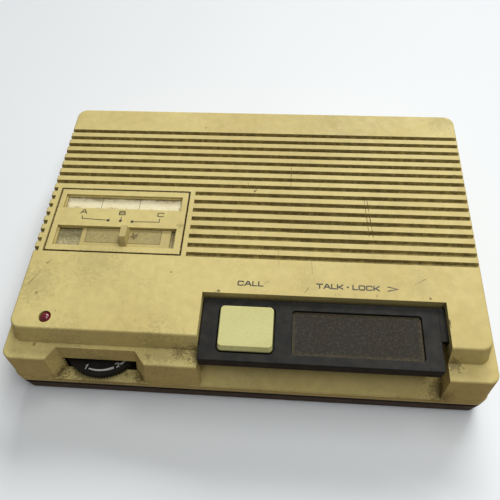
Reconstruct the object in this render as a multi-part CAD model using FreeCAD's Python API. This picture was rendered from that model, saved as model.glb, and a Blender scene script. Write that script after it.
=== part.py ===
"""Vintage desk intercom: a two-shell plastic case that stands on four rubber feet.

Frame: X to the right as the user sees it, Y away from the user, Z up, in millimetres.
The origin is on the table, under the middle of the case.
Places along Y in the names below are counted from the front edge of the shelf.
"""

import FreeCAD, Part
import math
import os

from FreeCAD import Vector

os.makedirs("parts", exist_ok=True)

UP = Vector(0, 0, 1)

# Case: heights from the table up
FOOT_H = 0.8
BASE_H = 7.8
LIP_H = 4.5
FACE_H = 15.5
RISE_H = 7.4

# Case: plan sizes
TOP_W = 180.0
TOP_D = 116.2
SHELF_D = 9.8
RISER_LEAN = 2.85
SIDE_LEAN = 0.5
LEDGE_W = 2.6
FACE_LEAN = 1.75
WALL_LEAN = 0.3
LIP_PROUD = 0.35
BASE_IN = 0.1
BASE_TAPER = 1.2
REVEAL_H = 2.0
REVEAL_D = 0.8
TOP_CORNER_R = 4.5
CASE_CORNER_R = 4.0
TOP_EDGE_R = 1.0
SHELF_EDGE_R = 0.8

# Walls and joints between the shells
WALL = 2.2
TOP_WALL = 3.4
BASE_WALL = 2.2
BASE_FLOOR = 2.2
TONGUE_H = 1.6
TONGUE_T = 1.2
TONGUE_GAP = 0.2
OVERRUN = 1.0
SLIDE_GAP = 0.1
RUN_GAP = 0.05

# Cord inlet in the back wall
BUSH_FLANGE_T = 1.2
BUSH_FLANGE_R = 6.5
BUSH_BODY_R = 4.6
BUSH_BORE_R = 3.1
BUSH_IN = 70.0
BUSH_ABOVE_LIP = 7.6
INLET_PAD_R = 7.4
NUT_R = 6.2
NUT_T = 2.0
NUT_SIDES = 6

# Ribbed top
GROOVE_COUNT = 16
FULL_GROOVE_COUNT = 8
GROOVE_PITCH = 4.44
GROOVE_W = 2.1
GROOVE_FLOOR_W = 1.7
GROOVE_DEPTH = 1.9
FIRST_GROOVE_IN = 14.53
SHORT_GROOVE_GAP = 2.42
NOTCH_L = 2.25

# Talk recess
WELL_IN = 14.8
WELL_L = 92.6
WELL_BACK_D = 28.05
WELL_STEP_H = 4.9
RAMP_BACK_D = 5.6
WELL_WALL = 2.0

# Talk bar
BAR_LEFT_GAP = 0.5
BAR_RIGHT_GAP = 2.4
BAR_D0 = 1.6
BAR_BACK_GAP = 0.85
BAR_DOWN = 2.8
BAR_H = 5.2
BAR_TOP_T = 2.4
BAR_WALL = 2.0
BAR_CORNER_R = 0.8
BAR_EDGE = 0.5
BAR_RIM_EDGE = 0.25
TAB_L = 2.6
TAB_D = 13.5
TAB_BACK_GAP = 0.2
TAB_DOWN = 0.25
TAB_T = 2.4
TALK_TRAVEL = 2.4
LOCK_TRAVEL = 2.0
INSERT_FROM_KEY = 7.0
INSERT_RIGHT = 6.65
INSERT_FRONT = 3.7
INSERT_BACK = 4.1
INSERT_R = 1.2
INSERT_DEPTH = 1.6
INSERT_T = 0.6
INSERT_GAP = 0.15

# Call key
KEY_LEFT = 7.05
KEY_L = 20.6
KEY_FRONT = 3.95
KEY_BACK = 3.7
KEY_GAP = 0.55
KEY_R = 1.6
KEY_PROUD = 1.5
KEY_FRONT_BEVEL = 1.5
KEY_SIDE_BEVEL = 0.15
KEY_WALL = 1.5
KEY_EDGE_R = 0.4
KEY_FLANGE = 1.1
KEY_FLANGE_T = 1.0
KEY_STEM_R = 2.0
KEY_STEM_L = 2.6
CALL_TRAVEL = 1.6
STOP_GAP = 0.3

# Small board, switch and spring under the call key
CALL_BOARD_DROP = 4.0
CALL_BOARD_T = 1.2
CALL_BOSS_R = 1.45
CALL_BOSS_OUT = 2.35
CALL_BOSS_SHARE = 0.28
CALL_SWITCH_W = 5.8
CALL_SWITCH_H = 1.4
CALL_PLUNGER_R = 1.6
CALL_SPRING_R = 5.6
SPRING_WIRE_R = 0.28
CALL_SPRING_TURNS = 5

# Talk carriage
CARRIAGE_LEFT = 4.9
CARRIAGE_RIGHT = 3.8
CARRIAGE_SIDE_GAP = 0.8
CARRIAGE_T = 1.6
CARRIAGE_BELOW_BAR = 6.0
RAIL_GAP = 2.6
RAIL_T = 1.0
POST_R = 1.8
POST_INSET = 10.0
POST_LOW = 4.0
BUSHING_H = 3.0
BUSHING_WALL = 1.4
CLIP_R = 3.4
CLIP_T = 0.8
CLIP_NECK_T = 0.4
PLUNGER_SHARE = 0.52
PLUNGER_R = 1.5
HOOK_SHARES = (0.62, 0.8)
HOOK_W = 3.0
HOOK_T = 1.6
HOOK_LIP = 1.0
HOOK_HEAD_H = 0.9
TALK_SPRING_R = 3.0
TALK_SPRING_TURNS = 3
TALK_SWITCH_L = 14.0
TALK_SWITCH_D = 8.0
TALK_SWITCH_EAR = 4.0
TALK_SWITCH_EAR_T = 1.4
TALK_EAR_UP = 2.4

# Thumb recess and volume wheel
THUMB_IN = 33.0
THUMB_HALF = 15.5
THUMB_D = 5.3
THUMB_LEAN = 2.1
THUMB_LEFT_SPLAY = 0.62
THUMB_RIGHT_SPLAY = 0.83
THUMB_LEFT_DRAFT = 0.9
THUMB_RIGHT_DRAFT = 3.9
THUMB_BACK_WALL = 1.4
THUMB_MOUTH_H = 7.3
WHEEL_IN = 31.8
WHEEL_R = 16.6
WHEEL_PROUD = 1.6
WHEEL_T = 3.0
WHEEL_UP = 1.4
WHEEL_TEETH = 84
TOOTH_DEPTH = 0.45
WHEEL_HUB_R = 4.6
WHEEL_DISH = 0.25
WHEEL_RIM_W = 1.3
POT_R = 8.0
POT_GAP = 0.4
SHAFT_R = 2.0
SHAFT_SEAT = 0.8
SHAFT_FLAT = 0.5
WHEEL_SCREW_HEAD_R = 2.9
WHEEL_SCREW_H = 0.9
WHEEL_SCREW_SHANK_R = 0.7

# Channel bezel, label and slide
BEZEL_IN = 4.43
BEZEL_L = 57.05
BEZEL_PAST_GROOVE = 0.52
BEZEL_T = 2.2
BEZEL_GAP = 0.4
BEZEL_R = 0.3
BEZEL_EDGE = 0.2
BEZEL_SHELF = 2.0
STEP_DEPTH = 0.9
STEP_IN = 0.5
LABEL_SIDE = 2.67
LABEL_BACK = 2.98
LABEL_D = 7.3
SLOT_SIDE_L = 2.82
SLOT_SIDE_R = 3.08
SLOT_FRONT = 2.85
SLOT_D = 9.8
LENS_T = 0.6
LENS_UP = 0.7
LENS_GAP = 0.3
LENS_MARGIN = 0.8
LENS_CORNER_R = 0.8
CARD_T = 0.25
GUIDE_T = 1.8
GUIDE_MARGIN = 2.5
GUIDE_PIN_R = 0.8
GUIDE_PIN_HEAD_R = 1.4
GUIDE_PIN_HEAD_H = 0.8
GUIDE_PIN_IN = 1.5
SLIDE_LEFT_GAP = 2.35
SLIDE_RIGHT_GAP = 0.9
SLIDE_T = 0.8
SLIDE_UNDER_RIM = 0.6
PAD_DOWN = 1.3
PAD_GAP = 0.35
SLIDE_TO_A = 8.4
SLIDE_TO_C = 1.5
KNOB_W = 3.1
KNOB_H = 4.3
KNOB_TAPER = 0.25
KNOB_END = 0.3
KNOB_R = 0.6
KNOB_EDGE = 0.2
KNOB_LEAN = 2.2
KNOB_OFF = -0.05
STEM_W = 3.0
STEM_D = 2.4
STEM_L = 3.6
WIPER_L = 6.0
WIPER_D = 4.2
WIPER_T = 1.8
SWITCH_WALL = 1.0
SWITCH_H = 6.0
SWITCH_BOARD_T = 1.2
SWITCH_BOARD_OVER = 2.0
SWITCH_GAP = 0.3
EAR_L = 4.5
EAR_T = 1.0

# Lamp
LED_IN = 13.3
LED_D = 14.6
LED_R = 2.1
LED_HOLE_R = 2.4
LED_PROUD = 0.5
LED_CAP_H = 1.2
LED_FLANGE_R = 2.9
LED_FLANGE_T = 1.0
LEAD_R = 0.3
LEAD_SPACING = 2.54

# Loudspeaker
SPK_IN = 56.0
SPK_R = 33.0
CLOTH_T = 0.5
CLOTH_MARGIN = 3.0
GASKET_T = 0.5
GASKET_W = 1.8
GASKET_CONE_GAP = 0.2
FLANGE_T = 1.0
BASKET_T = 1.0
BASKET_MOUTH_IN = 4.5
BASKET_FOOT_R = 15.0
BASKET_H = 13.0
BASKET_LEG_W = 7.0
BASKET_WINDOW_H_SHARE = 0.7
CONE_MOUTH_GAP = 1.5
CONE_NECK_R = 7.5
CONE_DEPTH = 9.5
CONE_T = 0.5
COIL_TUBE_L = 3.0
CAP_RISE = 1.8
MAGNET_R = 16.0
MAGNET_T = 6.6
MAGNET_PLATE_T = 1.4
POLE_R = 5.6
GRILLE_IN = 5.0
GRILLE_SLOT_W = 1.3
CLAMP_OUT = 5.0
CLAMP_R = 7.0
CLAMP_T = 1.0
BOSS_R = 3.0

# Screws
SCREW_R = 1.5
SCREW_HEAD_R = 2.8
SCREW_HEAD_H = 1.6
SMALL_SCREW_R = 1.0
SMALL_HEAD_R = 1.9
SMALL_HEAD_H = 1.2
SMALL_SCREW_L = 5.0
TINY_SCREW_R = 0.7
TINY_HEAD_H = 0.6
SCREW_SLOT_W = 0.6
SCREW_SLOT_DEPTH = 0.6
SEAT_GAP = 0.15

# Case screws and feet
CASE_POST_R = 3.6
CASE_POST_IN = 6.0
CASE_POST_FRONT_D = 36.0
CASE_POST_BACK_IN = 8.0
CASE_SCREW_L = 16.0
COUNTERBORE = 4.4
FOOT_R = 6.0
FOOT_TAPER = 0.6
FOOT_SEAT = 0.6
FOOT_IN = 18.0
FOOT_FRONT_D = 11.0
FOOT_BACK_IN = 7.5

# Main board and what is on it
BOARD_IN = 10.4
BOARD_SPK_GAP = 5.0
BOARD_D0 = 8.0
BOARD_COIL_GAP = 7.8
BOARD_T = 1.6
BOARD_STANDOFF = 2.8
BOARD_POST_R = 3.0
BOARD_POST_IN = 4.0
CAN_W = 9.6
CAN_H = 12.0
CAN_D_SHARE = 0.9
CAN_X_SHARES = (0.30, 0.48, 0.66, 0.84)
CAP_R = 4.0
CAP_H = 11.0
CAP_SHARES = ((0.14, 0.40), (0.14, 0.56), (0.14, 0.72), (0.94, 0.56), (0.94, 0.72), (0.82, 0.56))
CHIP_L = 19.0
CHIP_W = 6.4
CHIP_H = 3.4
CHIP_SHARE = (0.52, 0.55)
RESISTOR_R = 1.1
RESISTOR_L = 6.3
RESISTOR_PITCH = 3.6
RESISTOR_COUNT = 8
RESISTOR_SHARE = (0.34, 0.66)
TRANSISTOR_R = 2.3
TRANSISTOR_H = 5.0
TRANSISTOR_SHARES = ((0.30, 0.44), (0.42, 0.44), (0.54, 0.44), (0.66, 0.44))

# Mains transformer
CORE_IN = 28.0
CORE_BACK_IN = 24.0
CORE_W = 34.0
CORE_HEADROOM = 3.4
CORE_STACK = 14.0
YOKE_W = 5.7
COIL_OUT = 5.0
COIL_GAP = 0.2
STRAP_T = 1.0
STRAP_W = 12.0
STRAP_FOOT_L = 7.0
STRAP_BOSS_H = 4.0
STRAP_BOSS_R = 3.0

# Speaker leads
WIRE_R = 0.6
WIRE_PAIR_GAP = 1.0
TERMINAL_L = 7.0
TERMINAL_W = 5.0
TERMINAL_T = 1.2


def save(name, shape):
    """Write one named piece to its own file."""
    shape.exportStep("parts/" + name + ".step")


def group(solids):
    """Keep separate solids of one kind together, unfused."""
    return Part.makeCompound(solids)


def box(x0, x1, y0, y1, z0, z1):
    """Block between two corners."""
    return Part.makeBox(x1 - x0, y1 - y0, z1 - z0, Vector(x0, y0, z0))


def disc(x, y, z0, z1, radius):
    """Upright cylinder from z0 up to z1."""
    return Part.makeCylinder(radius, z1 - z0, Vector(x, y, z0), UP)


def frustum(x, y, z0, z1, r0, r1):
    """Upright cone stump with radius r0 at z0 and r1 at z1."""
    return Part.makeCone(r0, r1, z1 - z0, Vector(x, y, z0), UP)


def ring(x, y, z0, z1, r_out, r_in):
    """Upright tube."""
    return disc(x, y, z0, z1, r_out).cut(disc(x, y, z0, z1, r_in))


def round_rect(x0, x1, y0, y1, z, radius):
    """Closed outline of a rectangle with round corners, level at z."""
    turn = radius * (1 - math.sqrt(0.5))
    corners = (
        (Vector(x1 - radius, y0, z), Vector(x1 - turn, y0 + turn, z), Vector(x1, y0 + radius, z)),
        (Vector(x1, y1 - radius, z), Vector(x1 - turn, y1 - turn, z), Vector(x1 - radius, y1, z)),
        (Vector(x0 + radius, y1, z), Vector(x0 + turn, y1 - turn, z), Vector(x0, y1 - radius, z)),
        (Vector(x0, y0 + radius, z), Vector(x0 + turn, y0 + turn, z), Vector(x0 + radius, y0, z)),
    )
    edges = []
    for index, (start, middle, end) in enumerate(corners):
        edges.append(Part.Arc(start, middle, end).toShape())
        following = corners[(index + 1) % len(corners)][0]
        edges.append(Part.LineSegment(end, following).toShape())
    return Part.Wire(edges)


def plate(x0, x1, y0, y1, z0, z1, radius):
    """Flat plate with round corners."""
    face = Part.Face(round_rect(x0, x1, y0, y1, z0, radius))
    return face.extrude(Vector(0, 0, z1 - z0))


def between(low, high):
    """Solid between two outlines, each (x0, x1, y0, y1, z, radius)."""
    return Part.makeLoft([round_rect(*low), round_rect(*high)], True, True)


def tapered(low, high):
    """Flat-sided solid between two level four-cornered outlines with parallel sides."""
    sides = [(low[i], low[(i + 1) % 4], high[(i + 1) % 4], high[i]) for i in range(4)]
    faces = []
    for corners in (low, high, *sides):
        faces.append(Part.Face(Part.makePolygon([Vector(*point) for point in (*corners, corners[0])])))
    return Part.makeSolid(Part.makeShell(faces))


def inset(outline, amount):
    """The same outline drawn in by an amount on every side."""
    x0, x1, y0, y1, z, radius = outline
    tight = max(radius - amount, radius / 4)
    return (x0 + amount, x1 - amount, y0 + amount, y1 - amount, z, tight)


def at_height(outline, z):
    """The same outline at another height."""
    return outline[:4] + (z, outline[5])


def prism_x(points, x0, x1):
    """Solid of a (y, z) outline drawn along X."""
    loop = [Vector(x0, y, z) for y, z in points]
    face = Part.Face(Part.makePolygon(loop + loop[:1]))
    return face.extrude(Vector(x1 - x0, 0, 0))


def prism_z(points, z0, z1):
    """Solid of an (x, y) outline drawn up Z."""
    loop = [Vector(x, y, z0) for x, y in points]
    face = Part.Face(Part.makePolygon(loop + loop[:1]))
    return face.extrude(Vector(0, 0, z1 - z0))


def soften(solid, radius, keep):
    """Round the edges for which keep(edge) holds."""
    edges = [edge for edge in solid.Edges if keep(edge)]
    return solid.makeFillet(radius, edges) if edges else solid


def level_at(z):
    """Test for edges that lie level at a height."""
    def keep(edge):
        return abs(edge.BoundBox.ZMin - z) < RUN_GAP and abs(edge.BoundBox.ZMax - z) < RUN_GAP
    return keep


def screw(x, y, seat_z, length, head_r, head_h, shank_r, up=True):
    """Slotted pan screw whose head seats at seat_z, with the shank going up or down from it."""
    way = 1 if up else -1
    shank_z = seat_z + way * length
    head_z = seat_z - way * head_h
    shank = disc(x, y, min(seat_z, shank_z), max(seat_z, shank_z), shank_r)
    head = disc(x, y, min(seat_z, head_z), max(seat_z, head_z), head_r)
    slot_z = head_z + way * SCREW_SLOT_DEPTH
    half = SCREW_SLOT_W / 2
    slot = box(x - head_r, x + head_r, y - half, y + half, min(head_z, slot_z), max(head_z, slot_z))
    return head.cut(slot).fuse(shank).removeSplitter()


def small_screw(x, y, seat_z, up=True):
    """The small screw that holds boards and brackets."""
    return screw(x, y, seat_z, SMALL_SCREW_L, SMALL_HEAD_R, SMALL_HEAD_H, SMALL_SCREW_R, up)


def arc_from(start, corner, end):
    """Arc that leaves start towards corner and ends at end."""
    middle = (start + end) * 0.5
    angle = (corner - start).getAngle(end - start)
    share = math.tan(angle / 2) / math.tan(angle)
    return Part.Arc(start, middle + (corner - middle) * share, end).toShape()


def coil_spring(x, y, z0, z1, radius, turns, wire_r):
    """Coil spring whose wire touches both heights, on a path of tangent arcs."""
    rise = z1 - z0 - 2 * wire_r
    steps = turns * 4
    slope = rise / (2 * math.pi * radius * turns)

    def point(index):
        angle = index * math.pi / 2
        height = z0 + wire_r + rise * index / steps
        return Vector(x + radius * math.cos(angle), y + radius * math.sin(angle), height)

    def heading(index):
        angle = index * math.pi / 2
        return Vector(-math.sin(angle), math.cos(angle), slope).normalize()

    edges = []
    for index in range(steps):
        start, end = point(index), point(index + 1)
        leave, arrive = heading(index), heading(index + 1)
        span = end - start
        a = 2 * (1 - leave.dot(arrive))
        b = 2 * span.dot(leave + arrive)
        reach = (-b + math.sqrt(b * b + 4 * a * span.dot(span))) / (2 * a)
        first = start + leave * reach
        last = end - arrive * reach
        joint = (first + last) * 0.5
        edges.append(arc_from(start, first, joint))
        edges.append(arc_from(joint, last, end))
    path = Part.Wire(edges)
    section = Part.Wire(Part.Circle(point(0), heading(0), wire_r).toShape())
    shell = Part.BRepOffsetAPI.MakePipeShell(path)
    shell.add(section)
    shell.build()
    shell.makeSolid()
    return shell.shape()


def lead(points, radius):
    """Round wire along straight runs joined by the largest arcs that fit."""
    edges = []
    last = points[0]
    for index in range(1, len(points) - 1):
        corner = points[index]
        back = points[index - 1] - corner
        ahead = points[index + 1] - corner
        half_turn = (math.pi - back.getAngle(ahead)) / 2
        cut = 0.45 * min(back.Length, ahead.Length)
        start = corner + back.normalize() * cut
        end = corner + ahead.normalize() * cut
        middle = (start + end) * 0.5
        top = middle + (corner - middle) * (math.tan(half_turn / 2) / math.tan(half_turn))
        edges.append(Part.LineSegment(last, start).toShape())
        edges.append(Part.Arc(start, top, end).toShape())
        last = end
    edges.append(Part.LineSegment(last, points[-1]).toShape())
    path = Part.Wire(edges)
    section = Part.Wire(Part.Circle(points[0], points[1] - points[0], radius).toShape())
    shell = Part.BRepOffsetAPI.MakePipeShell(path)
    shell.add(section)
    shell.build()
    shell.makeSolid()
    return shell.shape()


# Heights, and places along Y
SEAM_Z = FOOT_H + BASE_H
LIP_Z = SEAM_Z + LIP_H
SHELF_Z = LIP_Z + FACE_H
TOP_Z = SHELF_Z + RISE_H
CEILING_Z = TOP_Z - TOP_WALL
FLOOR_Z = FOOT_H + BASE_FLOOR
WELL_FLOOR_Z = LIP_Z + WELL_STEP_H
LIP_D = FACE_LEAN + SHELF_D + TOP_D + SIDE_LEAN + LEDGE_W + WALL_LEAN + 2 * LIP_PROUD
FRONT_Y = -(LIP_D + BUSH_FLANGE_T) / 2 + LIP_PROUD + FACE_LEAN
PLATEAU_Y = FRONT_Y + SHELF_D
BACK_Y = PLATEAU_Y + TOP_D
SHELF_BACK_Y = BACK_Y + SIDE_LEAN + LEDGE_W
LIP_BACK_Y = SHELF_BACK_Y + WALL_LEAN + LIP_PROUD

# Outlines of the case at each height: (x0, x1, y0, y1, z, corner radius)
HALF_TOP = TOP_W / 2
HALF_FOOT = HALF_TOP + SIDE_LEAN
HALF_SHELF = HALF_FOOT + LEDGE_W
HALF_LIP = HALF_SHELF + WALL_LEAN
TOP_LINE = (-HALF_TOP, HALF_TOP, PLATEAU_Y, BACK_Y, TOP_Z, TOP_CORNER_R)
FOOT_LINE = (-HALF_FOOT, HALF_FOOT, PLATEAU_Y - RISER_LEAN, BACK_Y + SIDE_LEAN, SHELF_Z, TOP_CORNER_R)
SHELF_LINE = (-HALF_SHELF, HALF_SHELF, FRONT_Y, SHELF_BACK_Y, SHELF_Z, CASE_CORNER_R)
FACE_LINE = (-HALF_LIP, HALF_LIP, FRONT_Y - FACE_LEAN, SHELF_BACK_Y + WALL_LEAN, LIP_Z, CASE_CORNER_R)
LIP_LINE = inset(FACE_LINE, -LIP_PROUD)
RIM_LINE = at_height(inset(LIP_LINE, BASE_IN), SEAM_Z - REVEAL_H)
REVEAL_LINE = inset(RIM_LINE, REVEAL_D)
SOLE_LINE = (
    RIM_LINE[0] + BASE_TAPER, RIM_LINE[1] - BASE_TAPER, RIM_LINE[2], RIM_LINE[3] - BASE_TAPER,
    FOOT_H, CASE_CORNER_R,
)

# Places shared by several pieces
POSTS = [
    (side * (HALF_TOP - CASE_POST_IN), y)
    for side in (-1, 1)
    for y in (FRONT_Y + CASE_POST_FRONT_D, BACK_Y - CASE_POST_BACK_IN)
]
BUSH_X = BUSH_IN - HALF_TOP
THUMB_X = THUMB_IN - HALF_TOP
WHEEL_X = WHEEL_IN - HALF_TOP
WHEEL_Y = FRONT_Y - WHEEL_PROUD + WHEEL_R
WHEEL_Z = LIP_Z + WHEEL_UP
LED_X = LED_IN - HALF_TOP
LED_Y = FRONT_Y + LED_D
WELL_X1 = HALF_TOP - WELL_IN
WELL_X0 = WELL_X1 - WELL_L
WELL_BACK_Y = FRONT_Y + WELL_BACK_D
WELL_UNDER_Z = WELL_FLOOR_Z - WELL_WALL
SPK_X = HALF_TOP - SPK_IN
SPK_Y = (WELL_BACK_Y + WELL_WALL + BACK_Y) / 2
BASKET_MOUTH_R = SPK_R - BASKET_MOUTH_IN
CONE_EDGE_R = SPK_R - GASKET_W - GASKET_CONE_GAP
CONE_MOUTH_R = BASKET_MOUTH_R - CONE_MOUTH_GAP
GRILLE_OPEN_R = SPK_R - GRILLE_IN
BAR_X0 = WELL_X0 + BAR_LEFT_GAP
BAR_X1 = WELL_X1 - BAR_RIGHT_GAP
BAR_Y0 = FRONT_Y + BAR_D0
BAR_Y1 = WELL_BACK_Y - BAR_BACK_GAP
BAR_TOP_Z = TOP_Z - BAR_DOWN
BAR_LOW_Z = BAR_TOP_Z - BAR_H
BAR_UNDER_Z = BAR_TOP_Z - BAR_TOP_T
TAB_TOP_Z = BAR_TOP_Z - TAB_DOWN
TAB_Y1 = BAR_Y1 - TAB_BACK_GAP
TAB_Y0 = TAB_Y1 - TAB_D
KEY_X0 = BAR_X0 + KEY_LEFT
KEY_X1 = KEY_X0 + KEY_L
KEY_Y0 = BAR_Y0 + KEY_FRONT
KEY_Y1 = BAR_Y1 - KEY_BACK
INSERT_X0 = KEY_X1 + INSERT_FROM_KEY
INSERT_X1 = BAR_X1 - INSERT_RIGHT
INSERT_Y0 = BAR_Y0 + INSERT_FRONT
INSERT_Y1 = BAR_Y1 - INSERT_BACK
KEY_X = (KEY_X0 + KEY_X1) / 2
CALL_BOSS_REACH = KEY_L / 2 + KEY_GAP + CALL_BOSS_OUT
KEY_Y = (KEY_Y0 + KEY_Y1) / 2
KEY_TOP_Z = BAR_TOP_Z + KEY_PROUD
KEY_LOW_Z = BAR_UNDER_Z - SLIDE_GAP - KEY_FLANGE_T
KEY_CEILING_Z = KEY_TOP_Z - KEY_WALL
CALL_BOARD_Z = BAR_UNDER_Z - CALL_BOARD_DROP
CARRIAGE_Z = BAR_UNDER_Z - CARRIAGE_BELOW_BAR
CARRIAGE_LOW_Z = CARRIAGE_Z - CARRIAGE_T
CARRIAGE_X0 = BAR_X0 + CARRIAGE_LEFT
CARRIAGE_X1 = BAR_X1 - CARRIAGE_RIGHT
CARRIAGE_L = CARRIAGE_X1 - CARRIAGE_X0
RAIL_X0 = KEY_X + CALL_BOSS_REACH + CALL_BOSS_R + RAIL_GAP
PLUNGER_X = CARRIAGE_X0 + PLUNGER_SHARE * CARRIAGE_L
CARRIAGE_Y0 = BAR_Y0 + BAR_WALL + CARRIAGE_SIDE_GAP
CARRIAGE_Y1 = BAR_Y1 - BAR_WALL - CARRIAGE_SIDE_GAP
BAR_Y = (BAR_Y0 + BAR_Y1) / 2
POST_XS = (CARRIAGE_X0 + POST_INSET, CARRIAGE_X1 - POST_INSET)
POST_LOW_Z = WELL_UNDER_Z - POST_LOW
TALK_EAR_Z = FLOOR_Z + TALK_EAR_UP
HOOK_XS = [CARRIAGE_X0 + share * CARRIAGE_L for share in HOOK_SHARES]
GROOVE_YS = [BACK_Y - FIRST_GROOVE_IN - index * GROOVE_PITCH for index in range(GROOVE_COUNT)]
BEZEL_X0 = BEZEL_IN - HALF_TOP
BEZEL_X1 = BEZEL_X0 + BEZEL_L
BEZEL_Y0 = GROOVE_YS[-1] - BEZEL_PAST_GROOVE
BEZEL_Y1 = GROOVE_YS[FULL_GROOVE_COUNT] + BEZEL_PAST_GROOVE
SHORT_GROOVE_X = BEZEL_X1 + SHORT_GROOVE_GAP
BEZEL_LOW_Z = TOP_Z - BEZEL_T
STEP_Z = TOP_Z - STEP_DEPTH
LABEL_X0 = BEZEL_X0 + LABEL_SIDE
LABEL_X1 = BEZEL_X1 - LABEL_SIDE
LABEL_Y1 = BEZEL_Y1 - LABEL_BACK
LABEL_Y0 = LABEL_Y1 - LABEL_D
SLOT_X0 = BEZEL_X0 + SLOT_SIDE_L
SLOT_X1 = BEZEL_X1 - SLOT_SIDE_R
SLOT_Y0 = BEZEL_Y0 + SLOT_FRONT
SLOT_Y1 = SLOT_Y0 + SLOT_D
LENS_TOP_Z = BEZEL_LOW_Z + LENS_UP
CARD_TOP_Z = LENS_TOP_Z - LENS_T
GUIDE_Z = CEILING_Z
GUIDE_LOW_Z = GUIDE_Z - GUIDE_T
SLIDE_X0 = SLOT_X0 + SLIDE_LEFT_GAP + SLIDE_TO_A
SLIDE_X1 = SLOT_X1 - SLIDE_RIGHT_GAP - SLIDE_TO_C
SLIDE_Y = (SLOT_Y0 + SLOT_Y1) / 2
KNOB_X = (SLIDE_X0 + SLIDE_X1) / 2 + KNOB_OFF
SLIDE_Z = GUIDE_Z + SLIDE_GAP
SLIDE_TOP_Z = SLIDE_Z + SLIDE_T
PAD_TOP_Z = TOP_Z - PAD_DOWN
STEM_LOW_Z = SLIDE_Z - STEM_L
SWITCH_X = KNOB_X + (SLIDE_TO_C - SLIDE_TO_A) / 2
SWITCH_REACH = (SLIDE_TO_A + SLIDE_TO_C + WIPER_L) / 2 + SWITCH_GAP
SWITCH_LOW_Z = GUIDE_LOW_Z - SWITCH_H
CORE_X = CORE_IN - HALF_TOP
CORE_Y = BACK_Y - CORE_BACK_IN
CORE_H = CEILING_Z - FLOOR_Z - CORE_HEADROOM
BOARD_X0 = BOARD_IN - HALF_TOP
BOARD_X1 = SPK_X - SPK_R - BOARD_SPK_GAP
BOARD_Y0 = FRONT_Y + BOARD_D0
BOARD_Y1 = CORE_Y - CORE_STACK / 2 - COIL_GAP - COIL_OUT - BOARD_COIL_GAP
BOARD_Z = FLOOR_Z + BOARD_STANDOFF
BOARD_TOP_Z = BOARD_Z + BOARD_T
BOARD_POSTS = [
    (x, y)
    for x in (BOARD_X0 + BOARD_POST_IN, BOARD_X1 - BOARD_POST_IN)
    for y in (BOARD_Y0 + BOARD_POST_IN, BOARD_Y1 - BOARD_POST_IN)
]
GASKET_Z = CEILING_Z - CLOTH_T
FLANGE_Z = GASKET_Z - GASKET_T
BASKET_Z = FLANGE_Z - FLANGE_T
BASKET_LOW_Z = BASKET_Z - BASKET_H
MAGNET_LOW_Z = BASKET_LOW_Z - MAGNET_T
CLAMP_REACH = (SPK_R + CLAMP_OUT) * math.sqrt(0.5)
CLAMPS = [(SPK_X + i * CLAMP_REACH, SPK_Y + j * CLAMP_REACH) for i in (-1, 1) for j in (-1, 1)]
BUSH_Z = LIP_Z + BUSH_ABOVE_LIP
BUSH_SEAT_Y = LIP_BACK_Y - LIP_PROUD - WALL_LEAN - WALL
STRAP_FEET = (CORE_X - CORE_W / 2 - STRAP_FOOT_L / 2, CORE_X + CORE_W / 2 + STRAP_FOOT_L / 2)
STRAP_FOOT_Z = FLOOR_Z + STRAP_BOSS_H


def groove(x0, x1, y):
    """Cutter for one groove of the ribbed top, slightly narrower at its floor."""
    half, low_half = GROOVE_W / 2, GROOVE_FLOOR_W / 2
    floor_z = TOP_Z - GROOVE_DEPTH
    outline = (
        (y - half, TOP_Z + OVERRUN),
        (y - half, TOP_Z),
        (y - low_half, floor_z),
        (y + low_half, floor_z),
        (y + half, TOP_Z),
        (y + half, TOP_Z + OVERRUN),
    )
    return prism_x(outline, x0, x1)


def ribbed_top_cuts():
    """Every groove, and the slots in the groove floors over the loudspeaker."""
    outer = HALF_FOOT + OVERRUN
    cuts = []
    for index, y in enumerate(GROOVE_YS):
        if index < FULL_GROOVE_COUNT:
            cuts.append(groove(-outer, outer, y))
        else:
            cuts.append(groove(SHORT_GROOVE_X, outer, y))
            cuts.append(groove(-outer, -HALF_TOP + NOTCH_L, y))
        off = abs(y - SPK_Y)
        if off < GRILLE_OPEN_R - GROOVE_PITCH / 2:
            reach = math.sqrt(GRILLE_OPEN_R ** 2 - off ** 2)
            half = GRILLE_SLOT_W / 2
            low = CEILING_Z - OVERRUN
            cuts.append(box(SPK_X - reach, SPK_X + reach, y - half, y + half, low, TOP_Z))
    return cuts


def case_block():
    """Outside of the upper shell as one solid block."""
    body = between(FACE_LINE, SHELF_LINE)
    body = soften(body, SHELF_EDGE_R, level_at(SHELF_Z))
    raised = between(FOOT_LINE, TOP_LINE)
    raised = soften(raised, TOP_EDGE_R, level_at(TOP_Z))
    lip = between(at_height(LIP_LINE, SEAM_Z), LIP_LINE)
    return body.fuse([raised, lip])


def case_cavity():
    """Inside of the upper shell."""
    low = at_height(inset(FACE_LINE, WALL), SEAM_Z - OVERRUN)
    high = at_height(inset(SHELF_LINE, WALL), SHELF_Z - WALL)
    room_low = at_height(inset(FOOT_LINE, WALL), SHELF_Z - WALL - OVERRUN)
    room_high = at_height(inset(TOP_LINE, WALL), CEILING_Z)
    return between(low, high).fuse(between(room_low, room_high))


def inlet_pad():
    """Flat round pad that the cord bush is clamped to."""
    start = Vector(BUSH_X, BUSH_SEAT_Y, BUSH_Z)
    return Part.makeCylinder(INLET_PAD_R, LIP_BACK_Y - BUSH_SEAT_Y, start, Vector(0, 1, 0))


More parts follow.
